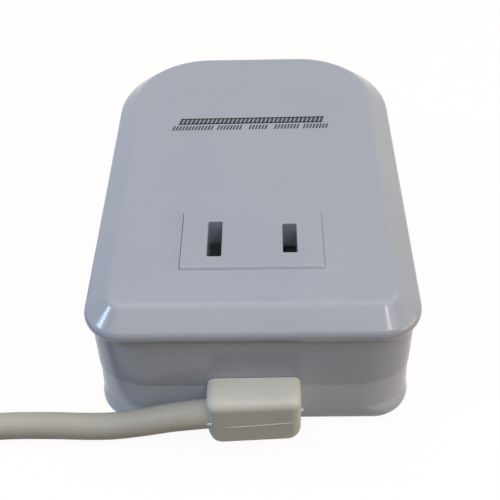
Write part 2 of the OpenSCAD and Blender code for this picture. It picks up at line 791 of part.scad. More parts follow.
module live_in_wire() {
  wire([
    [-core_wire_x, relief_back, core_wire_z], [-core_wire_x, relief_back + 1, core_wire_z],
    [-5, relief_back + 3, wire_low], [-11, outlet_y - 9.5, wire_low], [-14.6, outlet_y - 5, wire_low + 1],
    [-15.4, outlet_y + 2, wire_low + 4], [-15.4, board_y - 4, core_z1 - 3], [-14.6, board_y, core_z1 + 1],
    [-fuse_end - straight - 1.5, fuse_y - 0.5, fuse_z], [-fuse_end - straight, fuse_y, fuse_z],
    [-fuse_end, fuse_y, fuse_z]
  ], "#3a3a3c");
}

module neutral_in_wire() {
  end = tail_edge(-1, -1);
  wire([
    [core_wire_x, relief_back, core_wire_z], [core_wire_x, relief_back + 1, core_wire_z],
    [0, relief_back + 3.5, tail_z], [end.x + 2, end.y - 5, tail_z], [end.x, end.y - straight, tail_z], end
  ], "#e6e4dc");
}

module fuse_wire() {
  end = tag_edge(1, 1);
  wire([
    [fuse_end, fuse_y, fuse_z], [fuse_end + straight, fuse_y, fuse_z], [fuse_end + 4.5, fuse_y - 1.5, fuse_z],
    [13.5, board_y, core_z1 + 1.2], [end.x, board_y - 3.5, core_z1],
    [end.x, end.y + 1.4, end.z + straight + 0.9], [end.x, end.y, end.z + straight], end
  ], "#3a3a3c");
}

module common_wire() {
  start = tail_edge(-1, 1);
  end = pin_end(0);
  wire([
    start, [start.x, start.y + straight, start.z], [start.x - 0.5, board_y - 3, under_outlet],
    [end.x, end.y - straight - 1, end.z], [end.x, end.y - straight, end.z], end
  ], "#e6e4dc");
}

module output_wire() {
  start = tail_edge(1, 1);
  end = pin_end(1);
  wire([
    start, [start.x, start.y + straight, start.z], [4, board_y - 3, under_outlet],
    [0, board_y + 0.5, under_outlet],
    [end.x, end.y - straight - 0.5, end.z], [end.x, end.y - straight, end.z], end
  ], "#b33a32");
}

module low_tap_wire() {
  start = pin_end(2);
  end = tag_edge(2, -1);
  wire([
    start, [start.x, start.y - straight, start.z], [start.x + 2.5, board_y, wire_low],
    [9.6, board_y - 3, wire_low + 1], [end.x - 0.8, end.y + 0.6, (wire_low + end.z) / 2],
    [end.x, end.y, end.z - straight], end
  ], "#3f68a8");
}

module high_tap_wire() {
  start = pin_end(3);
  end = tag_edge(0, -1);
  wire([
    start, [start.x, start.y - straight, start.z], [11.4, board_y, wire_low - 1],
    [end.x, board_y - 5, wire_low - 1], [end.x, end.y + 4, wire_low - 1],
    [end.x, end.y + 0.6, wire_low + 2], [end.x, end.y, end.z - straight], end
  ], "#c98a2c");
}

// The block seen from above or from the end, rounded where it faces out
function nose(across) = concat(
  [[-cut, -across / 2]], arc([block_t - block_r, block_r - across / 2], block_r, 270, 360),
  arc([block_t - block_r, across / 2 - block_r], block_r, 0, 90), [[-cut, across / 2]]
);

module strain_relief() {
  color(cord_white) {
    difference() {
      intersection() {
        translate([0, block_y1, block_mid.y]) rotate([90, 0, 0]) linear_extrude(block_t)
          polygon(rounded([block_w, block_h], block_r));
        translate([0, block_y1, 0]) rotate([0, 0, -90]) linear_extrude(case_h) polygon(nose(block_w));
        translate([block_w / 2, block_y1, block_mid.y]) rotate([90, 0, -90]) linear_extrude(block_w)
          polygon(nose(block_h));
      }
      front_solid(base_side());
    }
    translate([-neck_w / 2, block_y1 - 2 * cut, neck_z])
      cube([neck_w, front_in - block_y1 + 2 * cut + 2 * fit, neck_top - neck_z]);
    translate([-relief_flange.x / 2, front_in + fit, relief_flange_z])
      cube([relief_flange.x, relief_flange.y, neck_top - relief_flange_z]);
  }
}

module cord_lead() {
  color(cord_white) tube(lead_route, cord_d / 2, cord_sides);
}

module cord_tail() {
  color(cord_white) tube(tail_route, cord_d / 2, cord_sides);
}

// The coil's middle line: in at a steady rate to the middle of its length, then out again
coil_last = coil_turns * coil_rings;
function coil_inset(t) = coil_step * min(t, coil_turns - t);
function coil_climb(t) = min(max((t - (coil_turns - climb_turns) / 2) / climb_turns, 0), 1);
function coil_at(t) = let (a = -90 - 360 * t, r = coil_r - coil_inset(t)) [
  coil_c.x + r * cos(a), coil_c.y + r * sin(a), coil_z + coil_step * (1 - cos(180 * coil_climb(t))) / 2
];
coil_line = concat(
  [[coil_c.x + cord_d, coil_c.y - coil_r, coil_z]],
  [for (i = [0:coil_last]) coil_at(i / coil_rings)],
  [[coil_c.x - coil_r, coil_c.y + cord_d, coil_z + coil_step]]
);
coil_gap = min([
  for (i = [0:len(coil_line) - 1]) for (j = [i + coil_rings / 2:len(coil_line) - 1])
  norm(coil_line[i] - coil_line[j])
]) - cord_d;
function run_length(p, i = 1) = i == len(p) ? 0 : norm(p[i] - p[i - 1]) + run_length(p, i + 1);
cord_length = run_length(lead_route) + run_length(coil_line) + run_length(tail_route);
echo(coil_least_gap_mm = coil_gap);
echo(cord_length_mm = cord_length);

module cord_coil() {
  color(cord_white) tube(coil_line, cord_d / 2, coil_sides);
}

module cord_tie() {
  inner_edge = coil_r - coil_inset(coil_turns / 2) - cord_d / 2 - tie_clear;
  outer_edge = coil_r + cord_d / 2 + tie_clear;
  size = [outer_edge - inner_edge, coil_z + coil_step + cord_d / 2 + 0.3 - tie_t];
  color("#2f3033") translate([coil_c.x, coil_c.y, 0]) rotate([0, 0, tie_angle])
    translate([(inner_edge + outer_edge) / 2, tie_w / 2, tie_t + size.y / 2]) rotate([90, 0, 0])
      linear_extrude(tie_w) difference() {
        polygon(rounded([size.x + 2 * tie_t, size.y + 2 * tie_t], tie_r + tie_t));
        polygon(rounded(size, tie_r));
      }
}

module plug_blade(side) {
  tip = [
    [plug_front - blade_root, -blade_w / 2], [plug_front + blade_l - blade_tip, -blade_w / 2],
    [plug_front + blade_l, blade_tip - blade_w / 2], [plug_front + blade_l, blade_w / 2 - blade_tip],
    [plug_front + blade_l - blade_tip, blade_w / 2], [plug_front - blade_root, blade_w / 2]
  ];
  translate([0, plug_y + side * slot_pitch / 2 + blade_t / 2, plug_h / 2]) rotate([90, 0, 0]) difference() {
    linear_extrude(blade_t) polygon(tip);
    translate([plug_front + blade_l - blade_hole_back, 0, -cut])
      cylinder(h = blade_t + 2 * cut, r = blade_hole_r);
  }
}

module plug_blades() {
  color(brass_yellow) for (s = [-1, 1]) plug_blade(s);
}

module plug_body() {
  back_w = boot_d.y + 3;
  shoulder = plug_l * 0.45;
  plan = [
    [0, -back_w / 2], [shoulder, -plug_w / 2], [plug_l, -plug_w / 2],
    [plug_l, plug_w / 2], [shoulder, plug_w / 2], [0, back_w / 2]
  ];
  boot = concat(
    [[0, 0], [boot_d.x / 2, 0]],
    [for (i = [0:boot_grooves - 1]) for (p = [[0.3, 0], [0.55, -0.8], [0.8, -0.8], [0.95, 0]])
      let (t = (i + p.x) / boot_grooves) [(boot_d.x + (boot_d.y - boot_d.x) * t) / 2 + p.y, boot_l * t]],
    [[boot_d.y / 2, boot_l], [boot_d.y / 2, boot_l + cut], [0, boot_l + cut]]
  );
  color(cord_white) difference() {
    union() {
      translate([plug_x, plug_y, 0]) intersection() {
        linear_extrude(plug_h) polygon(plan);
        translate([0, 0, plug_h / 2]) rotate([90, 0, 90]) linear_extrude(plug_l)
          polygon(rounded([plug_w, plug_h], plug_r));
      }
      translate([plug_x - boot_l, plug_y, plug_h / 2]) rotate([0, 90, 0]) rotate_extrude() polygon(boot);
    }
    for (s = [-1, 1]) translate([plug_front, plug_y + s * slot_pitch / 2, plug_h / 2])
      cube([2 * blade_root, blade_t, blade_w], center = true);
  }
}

top_cover();
base_shell();
case_screws();
outlet_face();
outlet_back();
neutral_contact();
live_contact();
core_e_stack();
core_i_stack();
core_screws();
bobbin();
bobbin_pins();
main_winding();
tap_winding();
winding_tape();
thermal_fuse();
insulating_board();
selector_frame();
selector_base();
selector_terminals();
selector_screws();
selector_knob();
selector_bridge();
live_in_wire();
neutral_in_wire();
fuse_wire();
common_wire();
output_wire();
low_tap_wire();
high_tap_wire();
strain_relief();
cord_lead();
cord_coil();
cord_tail();
cord_tie();
plug_body();
plug_blades();
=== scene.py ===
"""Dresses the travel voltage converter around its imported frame: case, outlet, selector, cord and plug."""

import logging
import math
from dataclasses import asdict, dataclass, fields, replace
from enum import Enum, IntEnum
from functools import partial
from typing import Any, ClassVar, Iterable, Sequence

import bmesh
import bpy
from mathutils import Matrix, Vector


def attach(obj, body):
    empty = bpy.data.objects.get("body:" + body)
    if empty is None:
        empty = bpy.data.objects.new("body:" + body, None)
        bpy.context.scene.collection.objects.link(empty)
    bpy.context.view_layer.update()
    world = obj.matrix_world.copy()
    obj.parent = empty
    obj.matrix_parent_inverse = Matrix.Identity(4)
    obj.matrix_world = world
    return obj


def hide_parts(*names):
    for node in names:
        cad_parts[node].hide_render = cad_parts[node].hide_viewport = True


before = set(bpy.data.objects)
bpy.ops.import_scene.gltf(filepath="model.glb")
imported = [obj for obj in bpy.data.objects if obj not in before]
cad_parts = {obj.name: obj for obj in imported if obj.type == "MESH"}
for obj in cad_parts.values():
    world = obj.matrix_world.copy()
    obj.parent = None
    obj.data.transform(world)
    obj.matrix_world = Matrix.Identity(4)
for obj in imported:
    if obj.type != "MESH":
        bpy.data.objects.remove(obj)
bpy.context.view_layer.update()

log = logging.getLogger("converter")
MM = 0.001
# In millimetres: how far a cut runs past what it cuts, how deep an added part is sunk into its carrier,
# and how near two points are that become one
PAST = 1.0
ROOT = 0.5
WELD = 0.002

Flat = tuple[float, float]
Point = tuple[float, float, float]
Four = tuple[float, float, float, float]
Ring = list[Point]
Skin = tuple[list[Point], list[tuple[int, ...]]]
Piece = bpy.types.Object
Tree = bpy.types.NodeTree
Socket = bpy.types.NodeSocket


class Axis(IntEnum):
    """An axis of the frame, by its place in a point."""

    X = 0
    Y = 1
    Z = 2


class Joining(Enum):
    """How one closed mesh is put to another."""

    CUT = "DIFFERENCE"
    ADD = "UNION"


class Relief(Enum):
    """How a surface was made, which sets its fine relief."""

    MOULDED = "moulded"
    BRUSHED = "brushed"
    LAYERED = "layered"


def linear(code: str) -> Four:
    """Turns an sRGB hex colour into linear light.

    Args:
        code: a colour such as "#c0ffee".

    Returns:
        Red, green, blue and alpha.
    """
    parts = [int(code[i:i + 2], 16) / 255 for i in (1, 3, 5)]
    red, green, blue = [c / 12.92 if c <= 0.04045 else ((c + 0.055) / 1.055) ** 2.4 for c in parts]
    return red, green, blue, 1.0


def add_node(tree: Tree, kind: str, settings: dict[str, Any] | None = None, **sockets: Any) -> bpy.types.Node:
    """Adds one node, with its settings, and sets or links its inputs.

    Args:
        tree: the tree that gets the node.
        kind: the node's type.
        settings: attributes of the node.
        sockets: inputs by name, with _ for a space, or by place as _0, _1. An output is linked, and so is
            the first output of a node; anything else is the input's value.

    Returns:
        The node.
    """
    node = tree.nodes.new(kind)
    for name, value in (settings or {}).items():
        setattr(node, name, value)
    for name, value in sockets.items():
        socket = node.inputs[int(name[1:]) if name[1:].isdigit() else name.replace("_", " ")]
        if isinstance(value, bpy.types.Node):
            value = value.outputs[0]
        if isinstance(value, Socket):
            tree.links.new(value, socket)
        else:
            socket.default_value = value
    return node


def bare_tree(owner: bpy.types.Material | bpy.types.World) -> Tree:
    """Gives a material or a world an empty node tree.

    Args:
        owner: the material or world.

    Returns:
        The tree.
    """
    owner.use_nodes = True
    owner.node_tree.nodes.clear()
    return owner.node_tree


# The parts of a noise from 0 to 1 over which the colour drifts, scuffs show and the gloss dulls
DRIFT = {"From_Min": 0.35, "From_Max": 0.65}
SCUFFS = {"From_Min": 0.58, "From_Max": 0.76}
DULLING = {"From_Min": 0.3, "From_Max": 0.7}
# Scuffs are this much finer than the colour's patches, and the swells of a sunken moulding are this long
SCUFF_SCALE = 0.23
WARP_LENGTH_MM = 22.0
# A wave texture repeats after this much of its scaled coordinate
WAVE_PERIOD = math.pi / 10
GRAIN_DETAIL = {Relief.MOULDED: 2.0, Relief.BRUSHED: 5.0}
COLOURS = {"data_type": "RGBA"}


@dataclass(frozen=True)
class Finish:
    """A real material and how its surface was made.

    Its colour drifts to a shade in patches, scuffs lift it to a third colour, and its relief is bump of a
    real depth. Sizes are in millimetres.
    """

    name: str
    colour: str
    shade: str
    scuff: str
    patch_mm: float = 14.0
    roughness: Flat = (0.3, 0.4)
    relief: Relief = Relief.MOULDED
    grain_mm: float = 0.5
    grain_depth_mm: float = 0.006
    along: Point = (1.0, 1.0, 1.0)
    metallic: float = 0.0
    ior: float = 1.5
    coat: float = 0.0
    scuff_share: float = 0.25
    warp_mm: float = 0.0

    def material(self) -> bpy.types.Material:
        """Makes the material once, and gives the same one after that.

        Returns:
            The node material.
        """
        known = bpy.data.materials.get(self.name)
        if known:
            return known
        made = bpy.data.materials.new(self.name)
        tree = bare_tree(made)
        node = partial(add_node, tree)
        place = node("ShaderNodeTexCoord").outputs["Object"]
        patches = node("ShaderNodeTexNoise", Vector=place, Scale=1 / (self.patch_mm * MM), Detail=3.0)
        tone = node("ShaderNodeMapRange", Value=patches, **DRIFT)
        body = node("ShaderNodeMix", COLOURS, _0=tone, _6=linear(self.colour), _7=linear(self.shade))
        rubbed = node("ShaderNodeTexNoise", Vector=place, Scale=1 / (self.patch_mm * SCUFF_SCALE * MM),
                      Detail=7.0, Roughness=0.68)
        worn = node("ShaderNodeMapRange", Value=rubbed, **SCUFFS, To_Max=self.scuff_share)
        skin = node("ShaderNodeMix", COLOURS, _0=worn, _6=body.outputs[2], _7=linear(self.scuff))
        gloss = node("ShaderNodeMapRange", Value=rubbed, **DULLING, To_Min=self.roughness[0],
                     To_Max=self.roughness[1])
        bump = node("ShaderNodeBump", Height=self.height(tree, place), Distance=self.grain_depth_mm * MM)
        if self.warp_mm:
            swell = node("ShaderNodeTexNoise", Vector=place, Scale=1 / (WARP_LENGTH_MM * MM), Detail=1.0)
            bump = node("ShaderNodeBump", Height=swell, Distance=self.warp_mm * MM, Normal=bump)
        shader = node("ShaderNodeBsdfPrincipled", Base_Color=skin.outputs[2], Roughness=gloss,
                      Metallic=self.metallic, IOR=self.ior, Coat_Weight=self.coat, Normal=bump)
        node("ShaderNodeOutputMaterial", Surface=shader)
        return made

    def height(self, tree: Tree, place: Socket) -> Socket:
        """Draws the fine relief.

        Args:
            tree: the material's tree.
            place: the Object coordinates.

        Returns:
            A height from 0 to 1.
        """
        scale = 1 / (self.grain_mm * MM)
        if self.relief is Relief.LAYERED:
            across = max(Axis, key=lambda axis: self.along[axis]).name
            bands = {"wave_type": "BANDS", "bands_direction": across, "wave_profile": "SIN"}
            return add_node(tree, "ShaderNodeTexWave", bands, Vector=place, Scale=WAVE_PERIOD * scale,
                            Distortion=0.4).outputs["Fac"]
        stretched = add_node(tree, "ShaderNodeMapping", Vector=place, Scale=self.along)
        return add_node(tree, "ShaderNodeTexNoise", Vector=stretched, Scale=scale,
                        Detail=GRAIN_DETAIL[self.relief]).outputs[0]


# White ABS, injection moulded in a polished tool: a cool white, semi-gloss, with faint flow clouds
CASE_ABS = Finish("moulded_white_abs", "#abb1bb", "#a7adb8", "#b4b9c2", patch_mm=16, roughness=(0.17, 0.23),
                  grain_mm=0.7, grain_depth_mm=0.003, ior=1.53, scuff_share=0.3, warp_mm=0.02)
# The same plastic, painted a shade lighter for the base as in the photograph: painted light, for the base
# catching more light than the cover's wall in the rim's shade
PAINTED_LIGHTER_BASE_ABS = replace(CASE_ABS, name="white_abs_painted_lighter", colour="#c0c6d0", shade="#bcc2cc",
                   scuff="#c8cdd5")
# Soft PVC, drawn over the cord: warmer and duller than the case, with handling marks
CORD_PVC = Finish("drawn_warm_white_pvc", "#bcb9ac", "#b5b2a4", "#c4c2b8", patch_mm=9, roughness=(0.46, 0.6),
                  grain_mm=0.35, grain_depth_mm=0.008, ior=1.52, scuff_share=0.35)
# Stiffer PVC, moulded on to the cord, painted a shade lighter: painted light, for the block's top catching
# more light than the cord
PAINTED_LIGHTER_BLOCK_PVC = replace(CORD_PVC, name="warm_white_pvc_painted_lighter", colour="#d6d6cb", shade="#d0cfc3",
                    scuff="#dcdbd3")
# Nylon with glass fibre, moulded dark: dull, with faint pale scuffs
DARK_NYLON = Finish("moulded_dark_nylon", "#3b3d42", "#34363b", "#55585d", roughness=(0.5, 0.65))
# Red acetal, moulded: the selector's knob, dull from fingers
KNOB_ACETAL = Finish("moulded_red_acetal", "#8f2d28", "#842722", "#a8504a", patch_mm=3, roughness=(0.4, 0.55),
                     grain_mm=0.3)
# Brass strip, stamped and rolled: faint rolling lines and a little tarnish
BRASS = Finish("rolled_brass_strip", "#c9a650", "#b8923f", "#d9bd74", patch_mm=4, roughness=(0.2, 0.36),
               relief=Relief.BRUSHED, grain_mm=0.12, along=(0.1, 1.0, 1.0), grain_depth_mm=0.002,
               metallic=1.0)
# Zinc plate on steel: bright grey with a cloudy film
ZINC_STEEL = Finish("zinc_plated_steel", "#a9acb0", "#979ba1", "#c2c5c8", patch_mm=3, roughness=(0.26, 0.42),
                    relief=Relief.BRUSHED, grain_mm=0.15, grain_depth_mm=0.002, metallic=1.0)
# Silicon steel sheets, stacked: a thin dark oxide on the edges; sheets drawn 0.5 mm thick as they are
CORE_STEEL = Finish("stacked_silicon_steel", "#74787d", "#5f6469", "#8f8378", patch_mm=5,
                    roughness=(0.4, 0.6), relief=Relief.LAYERED, grain_mm=0.5, along=(0.0, 0.0, 1.0),
                    grain_depth_mm=0.05, metallic=0.8)
# Enamelled copper wire, wound: turns drawn 0.45 mm apart, coarser than the real wire so that they show
COPPER = Finish("enamelled_copper_wire", "#b0683a", "#9c5529", "#c98a58", patch_mm=4, roughness=(0.25, 0.38),
                relief=Relief.LAYERED, grain_mm=0.45, along=(0.0, 1.0, 0.0), grain_depth_mm=0.12,
                metallic=0.7, coat=0.5)
# Polyester tape, wound: smooth and glossy, with a step where each lap ends
TAPE = Finish("yellow_polyester_tape", "#d6b03e", "#c79d2c", "#e2c56a", patch_mm=6, roughness=(0.22, 0.34),
              relief=Relief.LAYERED, grain_mm=4.5, along=(0.0, 1.0, 0.0), grain_depth_mm=0.03)
# Epoxy-sealed fuse case with a baked paint: even and half dull
FUSE_CASE = Finish("baked_tan_fuse_case", "#b9a27a", "#ad956b", "#cbb78f", patch_mm=3, roughness=(0.35, 0.5))
# Pressed fibre board: matt, with long pulp fibres
FIBRE_BOARD = Finish("pressed_grey_fibre_board", "#8a8577", "#7d7869", "#a09b8c", patch_mm=2.5,
                     roughness=(0.75, 0.9), relief=Relief.BRUSHED, grain_mm=0.6, along=(0.25, 1.0, 1.0),
                     grain_depth_mm=0.04)
# Paper phenolic sheet, punched: brown, with a paper mottle
PHENOLIC = Finish("punched_brown_phenolic", "#5d3b22", "#52321b", "#6f4c31", patch_mm=2,
                  roughness=(0.35, 0.5))
# Black vinyl strip, extruded: dull, with a fine pebble
TIE_VINYL = Finish("ribbed_black_vinyl", "#2f3033", "#28292c", "#46484c", patch_mm=5, roughness=(0.45, 0.6),
                   grain_mm=0.4, grain_depth_mm=0.02)
# Pad-printed ink: thin, matt, a little broken at the edges
INK = Finish("pad_printed_dark_ink", "#26282d", "#2e3036", "#4b4e56", patch_mm=2.2, roughness=(0.5, 0.65),
             grain_mm=0.3, grain_depth_mm=0.002, scuff_share=0.45)
# Vinyl, extruded over the inner wires: half dull, one colour for each use
VINYLS = {
    name: Finish(f"extruded_{name}_vinyl", *codes, patch_mm=3, roughness=(0.4, 0.52), grain_mm=0.4)
    for name, codes in {
        "black": ("#3a3a3c", "#313133", "#565659"), "white": ("#e0ded6", "#d6d3ca", "#ebe9e3"),
        "red": ("#b33a32", "#a53029", "#c75d55"), "blue": ("#3f68a8", "#365c99", "#6083bb"),
        "amber": ("#c98a2c", "#bb7d20", "#d9a556"),
    }.items()
}


def arc(centre: Flat, radius: float, start: float, end: float, steps: int) -> list[Flat]:
    """Points along an arc between two angles in degrees, both ends among them."""
    angles = [math.radians(start + (end - start) * i / steps) for i in range(steps + 1)]
    return [(centre[0] + radius * math.cos(a), centre[1] + radius * math.sin(a)) for a in angles]


def rounded(width: float, depth: float, radius: float, steps: int = 6) -> list[Flat]:
    """Outline of a rectangle with round corners, about its middle.

    Args:
        width: its size along the first axis.
        depth: its size along the second axis.
        radius: of the corners.
        steps: pieces in each corner.

    Returns:
        The outline's points, anticlockwise.
    """
    x, y = width / 2 - radius, depth / 2 - radius
    corners = [((x, y), 0), ((-x, y), 90), ((-x, -y), 180), ((x, -y), 270)]
    return [p for c, a in corners for p in arc(c, radius, a, a + 90, steps)]


def level(outline: Sequence[Flat], place: float, centre: Flat = (0.0, 0.0), axis: Axis = Axis.Z) -> Ring:
    """Lays an outline across an axis, at a place on it and about a centre in the other two axes."""
    spots = [(centre[0] + u, centre[1] + v) for u, v in outline]
    return [(*spot[:axis], place, *spot[axis:]) for spot in spots]


def loft(rings: Sequence[Ring], loop: bool = False) -> Skin:
    """Skins rings of equal length.

    Args:
        rings: the rings in order.
        loop: joins the last ring to the first; otherwise both ends get a flat cap.

    Returns:
        Points and faces.
    """
    n, count = len(rings[0]), len(rings)
    faces: list[tuple[int, ...]] = []
    for i in range(count if loop else count - 1):
        a, b = i * n, (i + 1) % count * n
        faces += [(a + k, a + (k + 1) % n, b + (k + 1) % n, b + k) for k in range(n)]
    if not loop:
        faces += [tuple(range(n))[::-1], tuple((count - 1) * n + k for k in range(n))]
    return [p for ring in rings for p in ring], faces


def upright(centre: Flat, size: Flat, low: float, high: float) -> Skin:
    """A plain block over a centre, between two heights, as a tool or a part of a piece."""
    plan = [(size[0] * x / 2, size[1] * y / 2) for x, y in ((-1, -1), (1, -1), (1, 1), (-1, 1))]
    return loft([level(plan, z, centre) for z in (low, high)])


def turned(profile: Sequence[Flat], centre: Flat, axis: Axis = Axis.Z, steps: int = 48,
           first: float = 2.0) -> Skin:
    """A round part about a line along an axis.

    Args:
        profile: radius and place on the axis of each ring, from one end to the other.
        centre: where the line crosses the plane of the other two axes.
        axis: the axis.
        steps: points round a ring.
        first: the angle of a ring's first point, off the axes so that no two edges cross in a cut.

    Returns:
        Points and faces.
    """
    last = first + 360 - 360 / steps
    return loft([level(arc((0, 0), r, first, last, steps - 1), place, centre, axis) for r, place in profile])


def rods(places: Iterable[Flat], radius: float, low: float, high: float) -> list[Skin]:
    """Upright rods of one size over several places, to add or to cut."""
    return [turned([(radius, low), (radius, high)], place) for place in places]


def make_piece(name: str, *skins: Skin) -> Piece:
    """Makes one object from skins in millimetres, closed and facing outwards.

    Args:
        name: the piece's name.
        skins: points and faces of each closed part.

    Returns:
        The object, at the origin, in metres.
    """
    mesh = bmesh.new()
    for points, faces in skins:
        corners = [mesh.verts.new(Vector(p) * MM) for p in points]
        for face in faces:
            mesh.faces.new([corners[i] for i in face])
    bmesh.ops.remove_doubles(mesh, verts=mesh.verts, dist=WELD * MM)
    bmesh.ops.recalc_face_normals(mesh, faces=mesh.faces)
    data = bpy.data.meshes.new(name)
    mesh.to_mesh(data)
    mesh.free()
    made = bpy.data.objects.new(name, data)
    bpy.context.scene.collection.objects.link(made)
    return made


def settle(piece: Piece) -> None:
    """Turns a piece's modifiers into plain mesh.

    Args:
        piece: the piece.
    """
    graph = bpy.context.evaluated_depsgraph_get()
    plain = bpy.data.meshes.new_from_object(piece.evaluated_get(graph))
    old = piece.data
    piece.modifiers.clear()
    piece.data = plain
    bpy.data.meshes.remove(old)


def combine(piece: Piece, how: Joining, *skins: Skin) -> None:
    """Adds closed parts to a piece, or cuts them out of it.

    Args:
        piece: the piece that changes.
        how: adding or cutting.
        skins: the parts, in millimetres.
    """
    tools = [make_piece(f"{piece.name}_tool", skin) for skin in skins]
    for tool in tools:
        change = piece.modifiers.new("combine", "BOOLEAN")
        change.operation, change.object, change.solver = how.value, tool, "EXACT"
    settle(piece)
    for tool in tools:
        bpy.data.meshes.remove(tool.data)


def soften(piece: Piece, width_mm: float, degrees: float = 40.0) -> None:
    """Rounds a piece's sharp edges a little, as a mould or a tumbler leaves them.

    Args:
        piece: the piece.
        width_mm: the rounding's width.
        degrees: edges sharper than this are rounded.
    """
    edge = piece.modifiers.new("edge", "BEVEL")
    edge.width, edge.segments, edge.limit_method = width_mm * MM, 3, "ANGLE"
    edge.angle_limit = math.radians(degrees)
    settle(piece)


def shade(piece: Piece, degrees: float) -> None:
    """Shades a piece smoothly, with large faces kept flat.

    Args:
        piece: the piece.
        degrees: edges sharper than this stay sharp.
    """
    piece.data.polygons.foreach_set("use_smooth", [True] * len(piece.data.polygons))
    piece.data.set_sharp_from_angle(angle=math.radians(degrees))
    weighted = piece.modifiers.new("weighted", "WEIGHTED_NORMAL")
    weighted.keep_sharp = True
    settle(piece)


def new_tree(name: str, inputs: dict[str, str]) -> Tree:
    """Starts a Geometry Nodes tree that gives a geometry.

    Args:
        name: the tree's name.
        inputs: the name and kind of each input.

    Returns:
        The tree.
    """
    tree = bpy.data.node_groups.new(name, "GeometryNodeTree")
    tree.interface.new_socket("Made", in_out="OUTPUT", socket_type="NodeSocketGeometry")
    for title, kind in inputs.items():
        tree.interface.new_socket(title, in_out="INPUT", socket_type=f"NodeSocket{kind}")
    return tree


def repeat(tree: Tree, points: Any, part: Any, finish: Socket, **turns: Any) -> None:
    """Ends a tree: puts a part at each point, makes the copies real and gives them their material.

    Args:
        tree: the tree.
        points: the node or output that gives the points.
        part: the node or output that gives the part.
        finish: its material.
        turns: how each copy is turned, if it is.
    """
    copies = add_node(tree, "GeometryNodeInstanceOnPoints", Points=points, Instance=part, **turns)
    real = add_node(tree, "GeometryNodeRealizeInstances", Geometry=copies)
    dressed = add_node(tree, "GeometryNodeSetMaterial", Geometry=real, Material=finish)
    add_node(tree, "NodeGroupOutput", Made=dressed)


def run_tree(piece: Piece, tree: Tree, values: dict[str, Any]) -> None:
    """Runs a Geometry Nodes tree on a piece and keeps the plain mesh.

    Args:
        piece: the piece.
        tree: the tree.
        values: its inputs by name.
    """
    change = piece.modifiers.new(tree.name, "NODES")
    change.node_group = tree
    for item in tree.interface.items_tree:
        if item.name in values:
            change[item.identifier] = values[item.name]
    settle(piece)


def dress(piece: Piece, finish: Finish, body: str, slot: str, *nodes: str, smooth: float = 35.0) -> Piece:
    """Gives a finished piece its shading, material and body, and hides the CAD nodes that it stands for.

    Args:
        piece: the piece.
        finish: its finish.
        body: the CAD body that it moves with.
        slot: the record's material slot; not used.
        nodes: the CAD nodes that it replaces.
        smooth: edges sharper than this, in degrees, stay sharp; at 0 all faces stay flat.

    Returns:
        The piece.
    """
    if smooth:
        shade(piece, smooth)
    piece.data.materials.clear()
    piece.data.materials.append(finish.material())
    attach(piece, body)
    if nodes:
        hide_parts(*nodes)
    log.info("%s: %d faces, for %s", piece.name, len(piece.data.polygons), ", ".join(nodes) or "no node")
    return piece


def dress_nodes(finishes: dict[str, Finish]) -> None:
    """Gives the CAD nodes that stay their finishes.

    Args:
        finishes: each node's finish.
    """
    for node, finish in finishes.items():
        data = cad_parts[node].data
        data.materials.clear()
        data.materials.append(finish.material())
        log.info("%s: %s", node, finish.name)


@dataclass(frozen=True)
class Lamp:
    """One soft lamp that points at the case: its place and width in metres, and its height in widths."""

    name: str
    place: Point
    width: float
    watts: float
    colour: str
    tall: float = 1.0
    aim: Point = (0.0, 0.0, 0.01)

    def hang(self) -> None:
        """Makes the lamp."""
        data = bpy.data.lights.new(self.name, "AREA")
        data.shape = "RECTANGLE"
        data.size, data.size_y = self.width, self.width * self.tall
        data.energy, data.color = self.watts, linear(self.colour)[:3]
        made = bpy.data.objects.new(self.name, data)
        made.location = self.place
        made.rotation_mode = "QUATERNION"
        made.rotation_quaternion = (Vector(self.aim) - Vector(self.place)).to_track_quat("-Z", "Y")
        bpy.context.scene.collection.objects.link(made)


